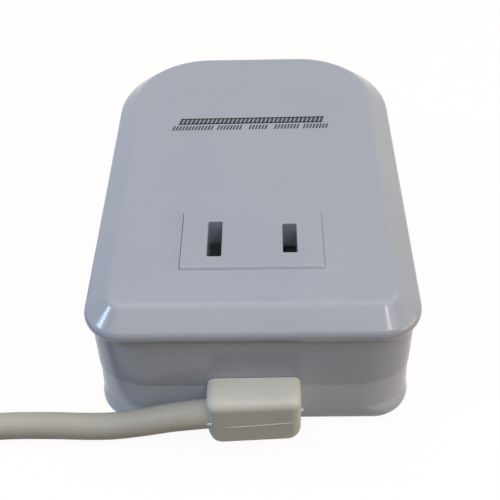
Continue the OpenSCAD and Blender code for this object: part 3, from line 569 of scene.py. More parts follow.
@dataclass
class Studio:
    """The camera at the photograph's angle, a pale floor and soft light.

    Angles are in degrees, the eye and the floor in millimetres and the clip in metres.
    """

    focal_px: float = 906.73
    image_px: float = 500.0
    sensor_mm: float = 36.0
    clip: Flat = (0.01, 20.0)
    pitch: float = 43.44
    yaw: float = 1.57
    roll: float = -1.76
    eye: Point = (2.65, -133.66, 131.10)
    sky: float = 0.05
    floor_half: float = 900.0
    floor_glow: float = 0.94
    floor_bounce: str = "#524940"
    lamps: tuple[Lamp, ...] = (
        Lamp("top_softbox", (0.05, 0.0, 0.6), 0.95, 3.83, "#fdfbf8"),
        Lamp("left_window", (-0.5, -0.06, 0.05), 0.3, 0.5, "#7fb0ff"),
        Lamp("right_window", (0.5, -0.15, 0.06), 0.42, 1.5, "#ffe4cc"),
        Lamp("left_bulb", (-0.425, -0.115, 0.34), 0.06, 0.56, "#cfe0ff", 1.8),
        Lamp("right_bulb", (0.19, -0.29, 0.48), 0.035, 0.26, "#ffffff", 4.0),
    )

    def build(self) -> None:
        """Makes the camera, the floor, the sky and the lamps."""
        self.camera()
        self.floor()
        self.world()
        for lamp in self.lamps:
            lamp.hang()

    def camera(self) -> None:
        """Places the camera as it was fitted to the photograph."""
        pitch, yaw, roll = (math.radians(a) for a in (self.pitch, self.yaw, self.roll))
        right = Vector((math.cos(yaw), math.sin(yaw), 0))
        level_ahead = Vector((-math.sin(yaw), math.cos(yaw), 0))
        ahead = level_ahead * math.cos(pitch) + Vector((0, 0, -math.sin(pitch)))
        up = right.cross(ahead)
        side = math.cos(roll) * right + math.sin(roll) * up
        top = -math.sin(roll) * right + math.cos(roll) * up
        data = bpy.data.cameras.new("camera")
        data.sensor_width = self.sensor_mm
        data.lens = self.focal_px / self.image_px * self.sensor_mm
        data.clip_start, data.clip_end = self.clip
        made = bpy.data.objects.new("camera", data)
        turn = Matrix((side, top, -ahead)).transposed().to_4x4()
        made.matrix_world = Matrix.Translation(Vector(self.eye) * MM) @ turn
        bpy.context.scene.collection.objects.link(made)
        bpy.context.scene.camera = made

    def seen(self, tree: Tree) -> Socket:
        """Makes a factor that is 1 for camera, glossy and transmission rays.

        Args:
            tree: the tree that gets the nodes.

        Returns:
            The factor.
        """
        path = add_node(tree, "ShaderNodeLightPath").outputs
        either = path["Is Camera Ray"]
        for ray in ("Is Glossy Ray", "Is Transmission Ray"):
            larger = add_node(tree, "ShaderNodeMath", {"operation": "MAXIMUM"}, _0=either, _1=path[ray])
            either = larger.outputs[0]
        return either

    def floor(self) -> None:
        """Lays a table that looks white, keeps the object's shadow and throws little light back up."""
        half = self.floor_half
        plan = level([(-half, -half), (half, -half), (half, half), (-half, half)], 0.0)
        table = make_piece("table", (plan, [(0, 1, 2, 3)]))
        paint = bpy.data.materials.new("white_paper_table")
        tree = bare_tree(paint)
        paper = add_node(tree, "ShaderNodeBsdfDiffuse", Color=linear(self.floor_bounce))
        glow = add_node(tree, "ShaderNodeMath", {"operation": "MULTIPLY"}, _0=self.seen(tree),
                        _1=self.floor_glow)
        lit = add_node(tree, "ShaderNodeEmission", Strength=glow)
        both = add_node(tree, "ShaderNodeAddShader", _0=paper, _1=lit)
        add_node(tree, "ShaderNodeOutputMaterial", Surface=both)
        table.data.materials.append(paint)

    def world(self) -> None:
        """Makes a sky that is white where it is seen and plain where it lights."""
        sky = bpy.data.worlds.new("studio_sky")
        tree = bare_tree(sky)
        strength = add_node(tree, "ShaderNodeMapRange", Value=self.seen(tree), To_Min=self.sky, To_Max=1.0)
        white = add_node(tree, "ShaderNodeBackground", Color=(1, 1, 1, 1), Strength=strength)
        add_node(tree, "ShaderNodeOutputWorld", Surface=white)
        bpy.context.scene.world = sky
        bpy.context.scene.view_settings.view_transform = "Standard"


@dataclass
class MainsCord:
    """The fixed cord: out of the strain relief, along the table, and put away in a flat coil with a tie."""

    diameter: float = 4.6
    root: Point = (-6.4, -42.2, 7.0)
    lead: tuple[Point, ...] = (
        (-7.8, -42.2, 6.8), (-10.2, -42.2, 6.4), (-14, -42.1, 5.6), (-19, -42, 4.2), (-24, -41.8, 3),
        (-29, -41.5, 2.5), (-36, -41.2, 2.4), (-44, -41.3, 2.4), (-53, -42.4, 2.4), (-62, -44.6, 2.5),
        (-71, -47.4, 2.6), (-80, -50, 2.8), (-88, -51.5, 3), (-94, -52, 3), (-99.4, -52, 3),
    )
    tail: tuple[Point, ...] = (
        (-136, -15.4, 8.2), (-136, -11, 8.2), (-136, -5, 7.2), (-136, 1, 5.6), (-135.7, 7, 4.2),
        (-133.5, 14, 3.3), (-129, 20.5, 3.4), (-123, 24.6, 4.8), (-118.5, 25.8, 6.1), (-115.5, 26, 6.5),
        (-112, 26, 6.5),
    )
    coil_centre: Flat = (-104.0, -20.0)
    coil_radius: float = 32.0
    coil_z: float = 3.0
    coil_step: float = 5.2
    coil_turns: float = 5.25
    climb_turns: float = 0.5
    turn_points: int = 48
    steps: int = 5
    sides: int = 20
    root_swell: Flat = (0.2, 16.0)
    tie_angle: float = 225.0
    tie_width: float = 8.0
    tie_thick: float = 0.6
    tie_clear: float = 0.6
    tie_spare: float = 0.3
    flap: Flat = (3.0, 14.0)
    flap_share: Flat = (0.8, 0.6)

    def coil(self) -> list[Point]:
        """The coil's middle line: in along the table, then out again on top of itself.

        Returns:
            The points.
        """
        line = []
        for i in range(round(self.coil_turns * self.turn_points) + 1):
            t = i / self.turn_points
            r = self.coil_radius - self.coil_step * min(t, self.coil_turns - t)
            climb = min(max((t - (self.coil_turns - self.climb_turns) / 2) / self.climb_turns, 0), 1)
            a = math.radians(-90 - 360 * t)
            line.append((self.coil_centre[0] + r * math.cos(a), self.coil_centre[1] + r * math.sin(a),
                         self.coil_z + self.coil_step * (1 - math.cos(math.pi * climb)) / 2))
        return line

    def smooth(self, points: Sequence[Point]) -> list[Point]:
        """Runs a Catmull-Rom line through points.

        Args:
            points: the points.

        Returns:
            The line, without its last point.
        """
        line = []
        for i in range(len(points) - 1):
            a, b, c, d = (Vector(points[min(max(i + k, 0), len(points) - 1)]) for k in (-1, 0, 1, 2))
            for k in range(self.steps):
                t = k / self.steps
                bend = (2 * a - 5 * b + 4 * c - d) * t * t + (3 * b - a - 3 * c + d) * t ** 3
                line.append(tuple(0.5 * (2 * b + (c - a) * t + bend)))
        return line

    def route(self) -> list[Point]:
        """The whole middle line, from the strain relief to the plug."""
        return self.smooth(self.lead) + self.coil() + self.smooth(self.tail) + [self.tail[-1]]

    def tube(self, line: Sequence[Point]) -> Piece:
        """Makes the cord's round skin along a line, a little thicker at its root.

        Args:
            line: the middle line.

        Returns:
            The cord.
        """
        spots = [Vector(p) for p in line]
        angles = [math.tau * k / self.sides for k in range(self.sides)]
        swell, reach = self.root_swell
        across = Vector((0, 0, 1))
        rings: list[Ring] = []
        for i, spot in enumerate(spots):
            way = (spots[min(i + 1, len(spots) - 1)] - spots[max(i - 1, 0)]).normalized()
            across = (across - across.dot(way) * way).normalized()
            other = way.cross(across)
            radius = self.diameter / 2 + swell * max(0.0, 1 - (spot - spots[0]).length / reach)
            rings.append([tuple(spot + radius * (math.cos(a) * across + math.sin(a) * other))
                          for a in angles])
        return make_piece("mains_cord", loft(rings))

    def strip(self) -> Piece:
        """Makes the tie: a strip round the coil's section, with its end lapped over.

        Returns:
            The tie.
        """
        half, lap = self.tie_width / 2, self.tie_thick
        inner = self.coil_radius - self.coil_step * self.coil_turns / 2 - self.diameter / 2 - self.tie_clear
        outer = self.coil_radius + self.diameter / 2 + self.tie_clear
        tall = self.coil_z + self.coil_step + self.diameter / 2 + self.tie_spare - lap
        middle = ((inner + outer) / 2, lap + tall / 2)
        rings = []
        for grow, place in ((0.0, -half), (lap, -half), (lap, half), (0.0, half)):
            outline = rounded(outer - inner + 2 * grow, tall + 2 * grow, self.tie_clear + grow)
            rings.append(level(outline, place, middle, Axis.Y))
        top, (start, end), (wide, thick) = 2 * lap + tall, self.flap, self.flap_share
        flap = upright((inner + (start + end) / 2, 0.0), (end - start, self.tie_width * wide),
                       top, top + lap * thick)
        made = make_piece("cord_tie_strip", loft(rings, loop=True), flap)
        turn = Matrix.Rotation(math.radians(self.tie_angle), 4, "Z")
        made.data.transform(Matrix.Translation(Vector((*self.coil_centre, 0)) * MM) @ turn)
        soften(made, width_mm=0.15)
        return made

    def build(self, plug: Iterable[Piece]) -> None:
        """Args:
            plug: the pieces at the cord's far end; not used.
        """
        line = self.route()
        cord = dress(self.tube([self.root, *line]), CORD_PVC, "case", "cord_vinyl",
                     "cord_lead", "cord_coil", "cord_tail", smooth=50)
        tie = dress(self.strip(), TIE_VINYL, "case", "tie_vinyl", "cord_tie")


@dataclass
class MainsPlug:
    """The moulded plug beside the coil: a grooved boot, a body that widens, and two flat blades."""

    start_x: float = -112.0
    body_x: float = -100.0
    front_x: float = -80.0
    centre_y: float = 26.0
    width: float = 23.0
    height: float = 13.0
    back_width: float = 12.0
    corner: float = 2.5
    edge: float = 0.7
    edge_steps: int = 4
    shoulder: float = 9.0
    shoulder_steps: int = 8
    boot: Flat = (6.2, 9.0)
    boot_round: float = 0.49
    grooves: int = 3
    groove_depth: float = 0.8
    groove_shape: tuple[Flat, ...] = ((0.3, 0), (0.38, 0.62), (0.5, 1), (0.72, 1), (0.84, 0.62), (0.95, 0))
    blade: Point = (17.5, 6.35, 1.5)
    blade_root: float = 4.0
    blade_pitch: float = 12.7
    blade_tip: float = 1.2
    blade_hole: Flat = (1.5, 4.6)
    hole_reach: float = 12.0
    hole_steps: int = 36

    def section(self, x: float, width: float, height: float, corner: float) -> Ring:
        """One cross-section of the plug, as a rounded rectangle at a place along it."""
        return level(rounded(width, height, corner), x, (self.centre_y, self.height / 2), Axis.X)

    def boot_section(self, share: float, depth: float = 0.0) -> Ring:
        """One round cross-section of the boot.

        Args:
            share: how far along the boot.
            depth: how deep in a groove, from 0 to 1.

        Returns:
            The ring.
        """
        back, front = self.boot
        d = back + (front - back) * share - 2 * self.groove_depth * depth
        x = self.start_x + (self.body_x - self.start_x) * share
        return self.section(x, d, d, self.boot_round * d)

    def rim(self, x: float, width: float, start: float) -> list[Ring]:
        """The rounded edge of one end of the body.

        Args:
            x: the middle of the edge's rounding.
            width: the body's width there.
            start: the first angle of the quarter turn.

        Returns:
            The rings.
        """
        turn = arc((0, 0), self.edge, start, start - 90, self.edge_steps)
        insets = [(x + a, 2 * (self.edge - b)) for a, b in turn]
        return [self.section(spot, width - inset, self.height - inset, self.corner) for spot, inset in insets]

    def body(self) -> Piece:
        """Makes the boot and the body as one moulding.

        Returns:
            The body.
        """
        rings = [self.boot_section(0.0)]
        for i in range(self.grooves):
            rings += [self.boot_section((i + share) / self.grooves, depth)
                      for share, depth in self.groove_shape]
        rings.append(self.boot_section(1.0))
        rings += self.rim(self.body_x + self.edge, self.back_width, 180)
        for i in range(1, self.shoulder_steps + 1):
            t = i / self.shoulder_steps
            wide = self.back_width + (self.width - self.back_width) * (3 - 2 * t) * t * t
            x = self.body_x + self.edge + (self.shoulder - self.edge) * t
            rings.append(self.section(x, wide, self.height, self.corner))
        rings += self.rim(self.front_x - self.edge, self.width, 90)
        return make_piece("mains_plug", loft(rings))

    def blades(self) -> Piece:
        """Makes the two flat blades, each with its hole and clipped tip.

        Returns:
            The blades.
        """
        long, wide, thick = self.blade
        tip, back, middle = long - self.blade_tip, -self.blade_root, self.height / 2
        outline = [(back, -wide / 2), (tip, -wide / 2), (long, self.blade_tip - wide / 2),
                   (long, wide / 2 - self.blade_tip), (tip, wide / 2), (back, wide / 2)]
        sides = [self.centre_y + side * self.blade_pitch / 2 for side in (-1, 1)]
        made = make_piece("plug_blade_pair", *[
            loft([level(outline, y + t, (self.front_x, middle), Axis.Y) for t in (-thick / 2, thick / 2)])
            for y in sides])
        radius, from_tip = self.blade_hole
        ends = [(radius, self.centre_y + side * self.hole_reach) for side in (-1, 1)]
        hole = (self.front_x + long - from_tip, middle)
        combine(made, Joining.CUT, turned(ends, hole, Axis.Y, self.hole_steps, 0.0))
        soften(made, width_mm=0.15, degrees=30)
        return made

    def build(self) -> list[Piece]:
        """Makes the plug's pieces, the body and the blades."""
        return [dress(self.body(), CORD_PVC, "case", "cord_vinyl", "plug_body"),
                dress(self.blades(), BRASS, "case", "brass_strip", "plug_blades")]


@dataclass
class CaseForm:
    """The sizes that the two halves of the case share, in millimetres."""

    width: float = 54.8
    length: float = 80.0
    height: float = 26.8
    wall: float = 2.0
    near_r: float = 6.9
    far_r: float = 18.1
    bevel: float = 3.95
    slope: float = 38.0
    rim_round: float = 1.5
    overhang: float = 1.05
    crease: float = 2.0
    seam: float = 10.35
    wall_corner: Flat = (9.65, 6.3)
    wall_swell: float = 0.26
    base_step: float = 0.07
    base_lean: float = 0.22
    base_flare: float = 0.6
    base_edge: float = 1.9
    base_top: float = 0.08
    flare_top: float = 4.1
    lip: float = 1.5
    lip_share: float = 0.6
    fit: float = 0.1
    inner_round: float = 1.0
    post_r: float = 3.4
    post_gap: float = 0.05
    posts: tuple[Flat, ...] = ((20.75, -33.35), (-20.75, -33.35), (8.0, 33.35), (-8.0, 33.35))
    outlet_size: Flat = (24.0, 14.1)
    outlet_y: float = -21.05
    outlet_top: float = 27.25
    selector: Flat = (-17.0, 15.7)
    near_steps: int = 16
    far_steps: int = 30
    round_steps: int = 5
    flare_steps: int = 10
    foot_steps: int = 12

    @property
    def inner(self) -> float:
        """How far the inside of the wall lies in from the rim line."""
        return self.overhang + self.wall

    @property
    def ceiling(self) -> float:
        """Height of the cover's inside."""
        return self.height - self.wall

    def ring(self, out: float, z: float, wall: float = 0.0, front: float | None = None) -> Ring:
        """The case's plan, round at the far end, at a height.

        Args:
            out: how far out from the rim line, so negative inside.
            z: the height.
            wall: from 0, the rim's near corners, to 1, the wall's, which run further along the front.
            front: how far out the front is, if not as far as the rest.

        Returns:
            The ring, anticlockwise.
        """
        front = out if front is None else front
        fx, fy = self.width / 2 - self.far_r, self.length / 2 - self.far_r
        far = self.far_r + out
        a, b = (self.near_r + out + wall * (c - self.near_r + self.overhang) for c in self.wall_corner)
        nx, ny = self.width / 2 + out + wall * self.wall_swell - a, -self.length / 2 - front + b
        right = [(nx + a * x, ny + b * y) for x, y in arc((0, 0), 1, -90, 0, self.near_steps)]
        left = [(-x, y) for x, y in reversed(right)]
        far_right = arc((fx, fy), far, 0, 90, self.far_steps)
        return level(right + far_right + arc((-fx, fy), far, 90, 180, self.far_steps) + left, z)

    def base_side(self) -> list[Four]:
        """The base's outside, from the seam down: upright, then out to a round foot at the sides and corners.

        Returns:
            The arguments of each ring.
        """
        top, flare = self.base_step - self.overhang, self.base_flare
        lip = arc((top - self.base_lean - self.base_top, self.seam - self.base_top), self.base_top, 90, 0,
                  self.round_steps)
        side = [(x, z, 1.0, x) for x, z in lip]
        for i in range(self.flare_steps + 1):
            t = i / self.flare_steps
            ease = math.sin(t * math.pi / 2)
            z = self.flare_top + (self.base_edge - self.flare_top) * t
            side.append((top + flare * ease, z, 1 - ease, top))
        foot = arc((top - self.base_edge, self.base_edge), self.base_edge, 0, -90, self.foot_steps)
        return side + [(x + flare, z, 0.0, x) for x, z in foot[1:]]

    def sweep(self, profile: Sequence[tuple[float, ...]]) -> Skin:
        """Sweeps a profile round the plan, each point of it the arguments of a ring."""
        return loft([self.ring(*p) for p in profile])


@dataclass
class TopCover:
    """The upper half: flat face, sloping bevel and a rounded rim that overhangs the wall.

    The gap round the outlet plate is given for its left, right, far and near side.
    """

    form: CaseForm
    seam_edge: float = 0.14
    seam_steps: int = 4
    under_rim: float = 0.9
    hollow_steps: int = 8
    rim_steps: int = 14
    crease_steps: int = 7
    hole_edge: float = 0.2
    hole_rise: float = 0.02
    outlet_gap: Four = (0.06, 0.01, 0.1, 0.02)
    outlet_edge: float = 0.04
    outlet_rise: float = 0.01
    outlet_corner: float = 0.3
    bore_r: float = 1.35
    bore_top: float = 17.0
    window: Flat = (8.6, 4.2)
    window_corner: float = 0.25
    selector_screw_y: float = 8.3
    screw_hole: Flat = (1.1, 2.1)
    sink: Flat = (1.1, 0.1)
    screw_steps: int = 36

    def profile(self) -> list[tuple[float, ...]]:
        """The half section, from the ceiling down the inside, round the seam and up to the top face.

        Returns:
            The arguments of each ring.
        """
        f = self.form
        slope = math.radians(f.slope)
        rim_z = f.height - (f.rim_round + math.sin(slope) * (f.bevel - f.rim_round)) / math.cos(slope)
        lip = f.overhang + f.wall / 2
        inside: list[tuple[float, ...]] = list(arc((-f.inner - f.inner_round, f.ceiling - f.inner_round),
                                                   f.inner_round, 90, 0, f.round_steps))
        lip_top = f.seam + f.lip
        inside += [(-f.inner, lip_top), (-lip, lip_top, f.lip_share), (-lip, f.seam, f.lip_share)]
        edge = arc((-f.overhang - self.seam_edge, f.seam + self.seam_edge), self.seam_edge, -90, 0,
                   self.seam_steps)
        hollow_x = -f.overhang + self.under_rim
        drop = math.sqrt((f.rim_round + self.under_rim) ** 2 - (hollow_x + f.rim_round) ** 2)
        touch = math.degrees(math.atan2(drop, -f.rim_round - hollow_x))
        hollow = arc((hollow_x, rim_z - drop), self.under_rim, 180, touch, self.hollow_steps)
        rim = arc((-f.rim_round, rim_z), f.rim_round, touch - 180, 90 - f.slope, self.rim_steps)
        crease_x = -f.bevel - f.crease * math.tan(slope / 2)
        crease = arc((crease_x, f.height - f.crease), f.crease, 90 - f.slope, 90, self.crease_steps)
        return (inside + [(x, z, 1.0) for x, z in edge]
                + [(x, z, 1 - i / self.hollow_steps) for i, (x, z) in enumerate(hollow)] + rim[1:] + crease)

    def outlet_hole(self) -> Skin:
        """The cut for the outlet plate, which sits a little to the right and front in it, flared at the top.

        Returns:
            Points and faces.
        """
        f, edge, corner = self.form, self.outlet_edge, self.outlet_corner
        left, right, far, near = self.outlet_gap
        wide, deep = f.outlet_size[0] + left + right, f.outlet_size[1] + far + near
        middle = ((right - left) / 2, f.outlet_y + (far - near) / 2)
        steps = [(0.0, f.ceiling - PAST), (0.0, f.height - edge), (edge, f.height + self.outlet_rise),
                 (edge, f.height + PAST)]
        return loft([level(rounded(wide + 2 * g, deep + 2 * g, corner + g), z, middle) for g, z in steps])

    def selector_cuts(self) -> list[Skin]:
        """The window for the knob and the two countersunk holes beside it, through the right-hand wall.

        Returns:
            Points and faces of each cut.
        """
        f, edge = self.form, self.hole_edge
        y0, z0 = f.selector
        face = f.width / 2 - f.overhang
        inside, outside = face - f.wall - PAST, face + PAST
        (wide, tall), corner = self.window, self.window_corner
        across = [(0.0, inside), (0.0, face - edge), (edge, face + self.hole_rise), (edge, outside)]
        cuts = [loft([level(rounded(wide + 2 * g, tall + 2 * g, corner), x, f.selector, Axis.X)
                      for g, x in across])]
        (shank, head), (deep, proud) = self.screw_hole, self.sink
        steps = [(shank, inside), (shank, face - deep), (head, face + proud), (head, outside)]
        for side in (-1, 1):
            centre = (y0 + side * self.selector_screw_y, z0)
            cuts.append(turned(steps, centre, Axis.X, self.screw_steps, 0.0))
        return cuts

    def build(self) -> None:
        """Makes the cover, with its posts, and dresses it."""
        f = self.form
        made = make_piece("moulded_top_cover", f.sweep(self.profile()))
        combine(made, Joining.ADD, *rods(f.posts, f.post_r, f.seam + f.post_gap, f.ceiling + ROOT))
        bores = rods(f.posts, self.bore_r, f.seam - PAST, self.bore_top)
        combine(made, Joining.CUT, self.outlet_hole(), *bores, *self.selector_cuts())
        dress(made, CASE_ABS, "case", "case_plastic", "top_cover")


@dataclass
class BaseShell:
    """The lower half: a floor with posts and guides, a rounded lower edge and a lip inside the cover."""

    form: CaseForm
    head_r: float = 2.5
    head_depth: float = 5.0
    head_edge: float = 0.25
    hole_r: float = 1.4
    core_posts: tuple[Flat, ...] = ((17.5, -2.15), (-17.5, -2.15), (17.5, 25.85), (-17.5, 25.85))
    core_post_r: float = 3.2
    core_post_top: float = 7.4
    core_bore: Flat = (1.55, 2.9)
    prop: Point = (1.6, 8.0, 7.0)
    prop_x: float = 10.4
    guide: Point = (3.0, 3.4, 6.0)
    guide_x: float = 16.0
    board_y: float = -8.85
    board_slot: Flat = (34.2, 1.2)
    notch: Flat = (9.2, 4.0)
    notch_z: float = 4.5

    def profile(self) -> list[tuple[float, ...]]:
        """The half section, from the floor up the inside, over the lip and down to the table.

        Returns:
            The arguments of each ring.
        """
        f = self.form
        lip, lip_top = f.overhang + f.wall / 2 + f.fit, f.seam + f.lip - f.fit
        inside = arc((-f.inner - f.inner_round, f.wall + f.inner_round), f.inner_round, -90, 0, f.round_steps)
        over = [(-f.inner, lip_top), (-lip, lip_top, f.lip_share), (-lip, f.seam, f.lip_share)]
        return inside + over + f.base_side()

    def build(self) -> None:
        """Makes the base, with its posts, props and guides, and dresses it."""
        f = self.form
        under, guide_top = f.wall - ROOT, f.wall + self.guide[2]
        made = make_piece("moulded_base_shell", f.sweep(self.profile()))
        adds = rods(f.posts, f.post_r, under, f.seam - f.post_gap)
        adds += rods(self.core_posts, self.core_post_r, under, self.core_post_top)
        for side in (-1, 1):
            adds.append(upright((side * self.prop_x, f.outlet_y), self.prop[:2], under, self.prop[2]))
            adds.append(upright((side * self.guide_x, self.board_y), self.guide[:2], under, guide_top))
        combine(made, Joining.ADD, *adds)
        head = [(self.head_r + self.head_edge, -self.head_edge), (self.head_r, 0.0),
                (self.head_r, self.head_depth)]
        cuts = [turned(head, post) for post in f.posts]
        cuts += rods(f.posts, self.hole_r, self.head_depth - PAST, f.seam + PAST)
        cuts += rods(self.core_posts, *self.core_bore, self.core_post_top + PAST)
        cuts.append(upright((0.0, self.board_y), self.board_slot, f.wall, guide_top + PAST))
        wide, deep = self.notch
        middle = (0.0, -f.length / 2 + (deep - PAST) / 2)
        cuts.append(upright(middle, (wide, deep + PAST), self.notch_z, f.height))
        combine(made, Joining.CUT, *cuts)
        # The base gets the cover's plastic painted a shade lighter: painted light, for the base catching more
        # light than the wall under the rim
        dress(made, PAINTED_LIGHTER_BASE_ABS, "case", "case_plastic", "base_shell")


@dataclass
class OutletFace:
    """The raised plate with its two polarised slots, and the contact chambers under it.

    The width of the plate's sloping edge is given for its left, right, far and near side.
    """

    form: CaseForm
    edge: Four = (0.12, 0.3, 0.16, 0.42)
    edge_shape: tuple[Flat, ...] = ((0.0, 0.42), (0.36, 0.22), (0.9, 0.05), (1.05, 0.012), (1.2, 0.0))
    corner: float = 0.3
    lip: Flat = (26.4, 16.5)
    lip_z: float = 23.2
    core: Flat = (22.4, 12.5)
    core_corner: float = 0.5
    bottom: float = 8.5
    chamber: Flat = (5.0, 9.6)
    chamber_top: float = 22.0
    slot_x: float = 6.35
    slot_w: float = 2.4
    slots: Flat = (8.6, 7.1)
    slot_corner: float = 0.2
    slot_edge: float = 0.15
    slot_turn: float = 80.0
    slot_steps: int = 3

    def body(self) -> Skin:
        """The core, its lip under the cover, and the plate with its sloping edges.

        Returns:
            Points and faces.
        """
        f = self.form
        wide, deep = f.outlet_size
        steps = ((self.core, self.core_corner, self.bottom), (self.core, self.core_corner, self.lip_z),
                 (self.lip, self.core_corner, self.lip_z), (self.lip, self.core_corner, f.ceiling),
                 (f.outlet_size, self.corner, f.ceiling))
        rings = [level(rounded(*size, r), z, (0, f.outlet_y)) for size, r, z in steps]
        for share, low in self.edge_shape:
            left, right, far, near = (share * e for e in self.edge)
            middle = ((left - right) / 2, f.outlet_y + (near - far) / 2)
            plan = rounded(wide - left - right, deep - far - near, self.corner)
            rings.append(level(plan, f.outlet_top - low, middle))
        return loft(rings)

    def slot(self, centre: Flat, long: float) -> Skin:
        """The cut for one slot, rounded over at the top.

        Args:
            centre: its middle.
            long: its length.

        Returns:
            Points and faces.
        """
        top, edge = self.form.outlet_top, self.slot_edge
        steps = [(0.0, self.chamber_top - ROOT), (0.0, top - edge)]
        turn = arc((0, 0), edge, 0, self.slot_turn, self.slot_steps)
        steps += [(edge - a, top - edge + b) for a, b in turn]
        steps.append((2 * edge, top + PAST))
        return loft([level(rounded(self.slot_w + 2 * g, long + 2 * g, self.slot_corner + g), z, centre)
                     for g, z in steps])

    def build(self) -> None:
        """Makes the outlet's moulding and dresses it."""
        made = make_piece("moulded_outlet_face", self.body())
        cuts = []
        for side, long in zip((-1, 1), self.slots):
            centre = (side * self.slot_x, self.form.outlet_y)
            cuts.append(upright(centre, self.chamber, self.bottom - PAST, self.chamber_top))
            cuts.append(self.slot(centre, long))
        combine(made, Joining.CUT, *cuts)
        dress(made, CASE_ABS, "case", "case_plastic", "outlet_face")


@dataclass
class StrainRelief:
    """The moulded block that turns the cord to the left, with its parting ridge and its neck in the wall.

    Radii are across and up, for the left, the front and the right.
    """

    form: CaseForm
    size: Point = (15.6, 5.85, 9.85)
    back_y: float = -39.05
    low_z: float = 2.4
    upright_r: Flat = (2.0, 1.6)
    low_r: tuple[Flat, ...] = ((1.0, 2.8), (0.8, 0.8), (1.6, 1.8))
    top_r: tuple[Flat, ...] = ((1.5, 1.5), (1.6, 1.6), (1.2, 1.2))
    corner_steps: int = 10
    levels: int = 40
    twist: float = 1.6
    roll: Flat = (2.0, 0.75)
    neck: Point = (9.0, 2.4, 5.4)
    neck_z: float = 4.6
    flange: Point = (13.0, 1.8, 7.0)
    flange_y: float = -36.85
    flange_z: float = 3.0
    seat_half: float = 12.0
    seat_depth: float = 6.0
    ridge_z: float = 7.0
    ridge_rise: float = 0.05
    ridge_ends: Flat = (0.4, 0.5)
    ridge_steps: int = 16
    ridge_fade: Point = (4.0, 4.0, 0.2)
    ridge_shape: tuple[Flat, ...] = ((0.3, -0.15), (-0.12, -0.03), (-0.12, 0.03), (0.3, 0.15))
    nubs: tuple[tuple[int, Point], ...] = ((-1, (7.5, 5.2, 7.2)), (1, (7.8, 3.45, 7.7)))
    nub_shape: tuple[Flat, ...] = ((0.5, -0.5), (0.46, 0.0), (0.36, 0.25), (0.2, 0.45), (0.06, 0.52))
    nub_steps: int = 10

    def swing(self, p: Point) -> Point:
        """Turns and tilts the block a little, with its back still on the wall.

        Args:
            p: a point of the straight block.

        Returns:
            The point where it is.
        """
        reach = min(max((self.back_y - p[1]) / self.size[1], 0), 1)
        low, top = self.roll
        roll = low + (top - low) * (p[2] - self.low_z) / self.size[2]
        return (p[0], p[1] + p[0] * math.tan(math.radians(self.twist)) * reach,
                p[2] + p[0] * math.tan(math.radians(roll)))

    def inset(self, low: Flat, top: Flat, z: float) -> float:
        """How far a side is rounded in at a height.

        Args:
            low: the radii of its lower edge.
            top: the radii of its upper edge.
            z: the height.

        Returns:
            The distance in.
        """
        share, radius = max(((self.low_z + low[1] - z) / low[1], low[0]),
                            ((z - self.low_z - self.size[2] + top[1]) / top[1], top[0]))
        return radius * (1 - math.sqrt(max(1 - share ** 2, 0))) if share > 0 else 0.0

    def block(self) -> Skin:
        """The block: rounded all over except against the wall, most at the cord's end.

        Returns:
            Points and faces.
        """
        (w, d, h), (a, b), back = self.size, self.upright_r, self.back_y
        rings = []
        for i in range(self.levels + 1):
            z = self.low_z + h * (1 - math.cos(math.pi * i / self.levels)) / 2
            left, front, right = (self.inset(low, top, z) for low, top in zip(self.low_r, self.top_r))
            x0, x1, y = left - w / 2, w / 2 - right, back - d + front
            plan = [(x0, back)] + arc((x0 + a, y + a), a, 180, 270, self.corner_steps)
            plan += arc((x1 - b, y + b), b, 270, 360, self.corner_steps) + [(x1, back)]
            rings.append([self.swing(p) for p in level(plan, z)])
        return loft(rings)

    def seat(self) -> Skin:
        """The room that the base takes up behind the block.

        Returns:
            Points and faces.
        """
        side = [(-self.form.length / 2 - front, z) for _, z, _, front in self.form.base_side()]
        inside = self.back_y + self.seat_depth
        outline = [(inside, side[0][1])] + side + [(inside, 0.0)]
        return loft([level(outline, x, axis=Axis.X) for x in (-self.seat_half, self.seat_half)])

    def parting(self) -> Skin:
        """The thin ridge on the front where the two halves of the mould met.

        Returns:
            Points and faces.
        """
        w, (a, b), y = self.size[0], self.upright_r, self.back_y - self.size[1]
        low, high = a - w / 2 + self.ridge_ends[0], w / 2 - b + self.ridge_ends[1]
        rise, fall, least = self.ridge_fade
        rings = []
        for i in range(self.ridge_steps + 1):
            t = i / self.ridge_steps
            x, grow = low + (high - low) * t, min(1.0, rise * t, fall * (1 - t) + least)
            z = self.ridge_z + self.ridge_rise * x
            rings.append([self.swing((x, y + (s * grow if s < 0 else s), z + u))
                          for s, u in self.ridge_shape])
        return loft(rings)

    def nub(self, side: int, spot: Point) -> Skin:
        """A spot of flash on one end of the block.

        Args:
            side: -1 for the left end, 1 for the right.
            spot: how far it stands out from the middle and in front of the wall, and its height.

        Returns:
            Points and faces.
        """
        out, front, z = spot
        steps = [(r, side * (out + t)) for r, t in self.nub_shape]
        points, faces = turned(steps, (self.back_y - front, z), Axis.X, self.nub_steps, 0.0)
        return [self.swing(p) for p in points], faces

    def build(self) -> None:
        """Makes the block, its ridge, neck and flange as one moulding."""
        (w, d, h), (fw, fd, fh) = self.neck, self.flange
        neck = upright((0.0, self.back_y + (d - PAST) / 2), (w, d + PAST), self.neck_z, self.neck_z + h)
        flange = upright((0.0, self.flange_y + fd / 2), (fw, fd), self.flange_z, self.flange_z + fh)
        made = make_piece("moulded_strain_relief", self.block())
        combine(made, Joining.CUT, self.seat())
        combine(made, Joining.ADD, neck, flange, self.parting(), *[self.nub(*nub) for nub in self.nubs])
        # The block gets the cord's vinyl painted a shade lighter: painted light, for its top catching more
        # light
        dress(made, PAINTED_LIGHTER_BLOCK_PVC, "case", "cord_vinyl", "strain_relief", smooth=40)


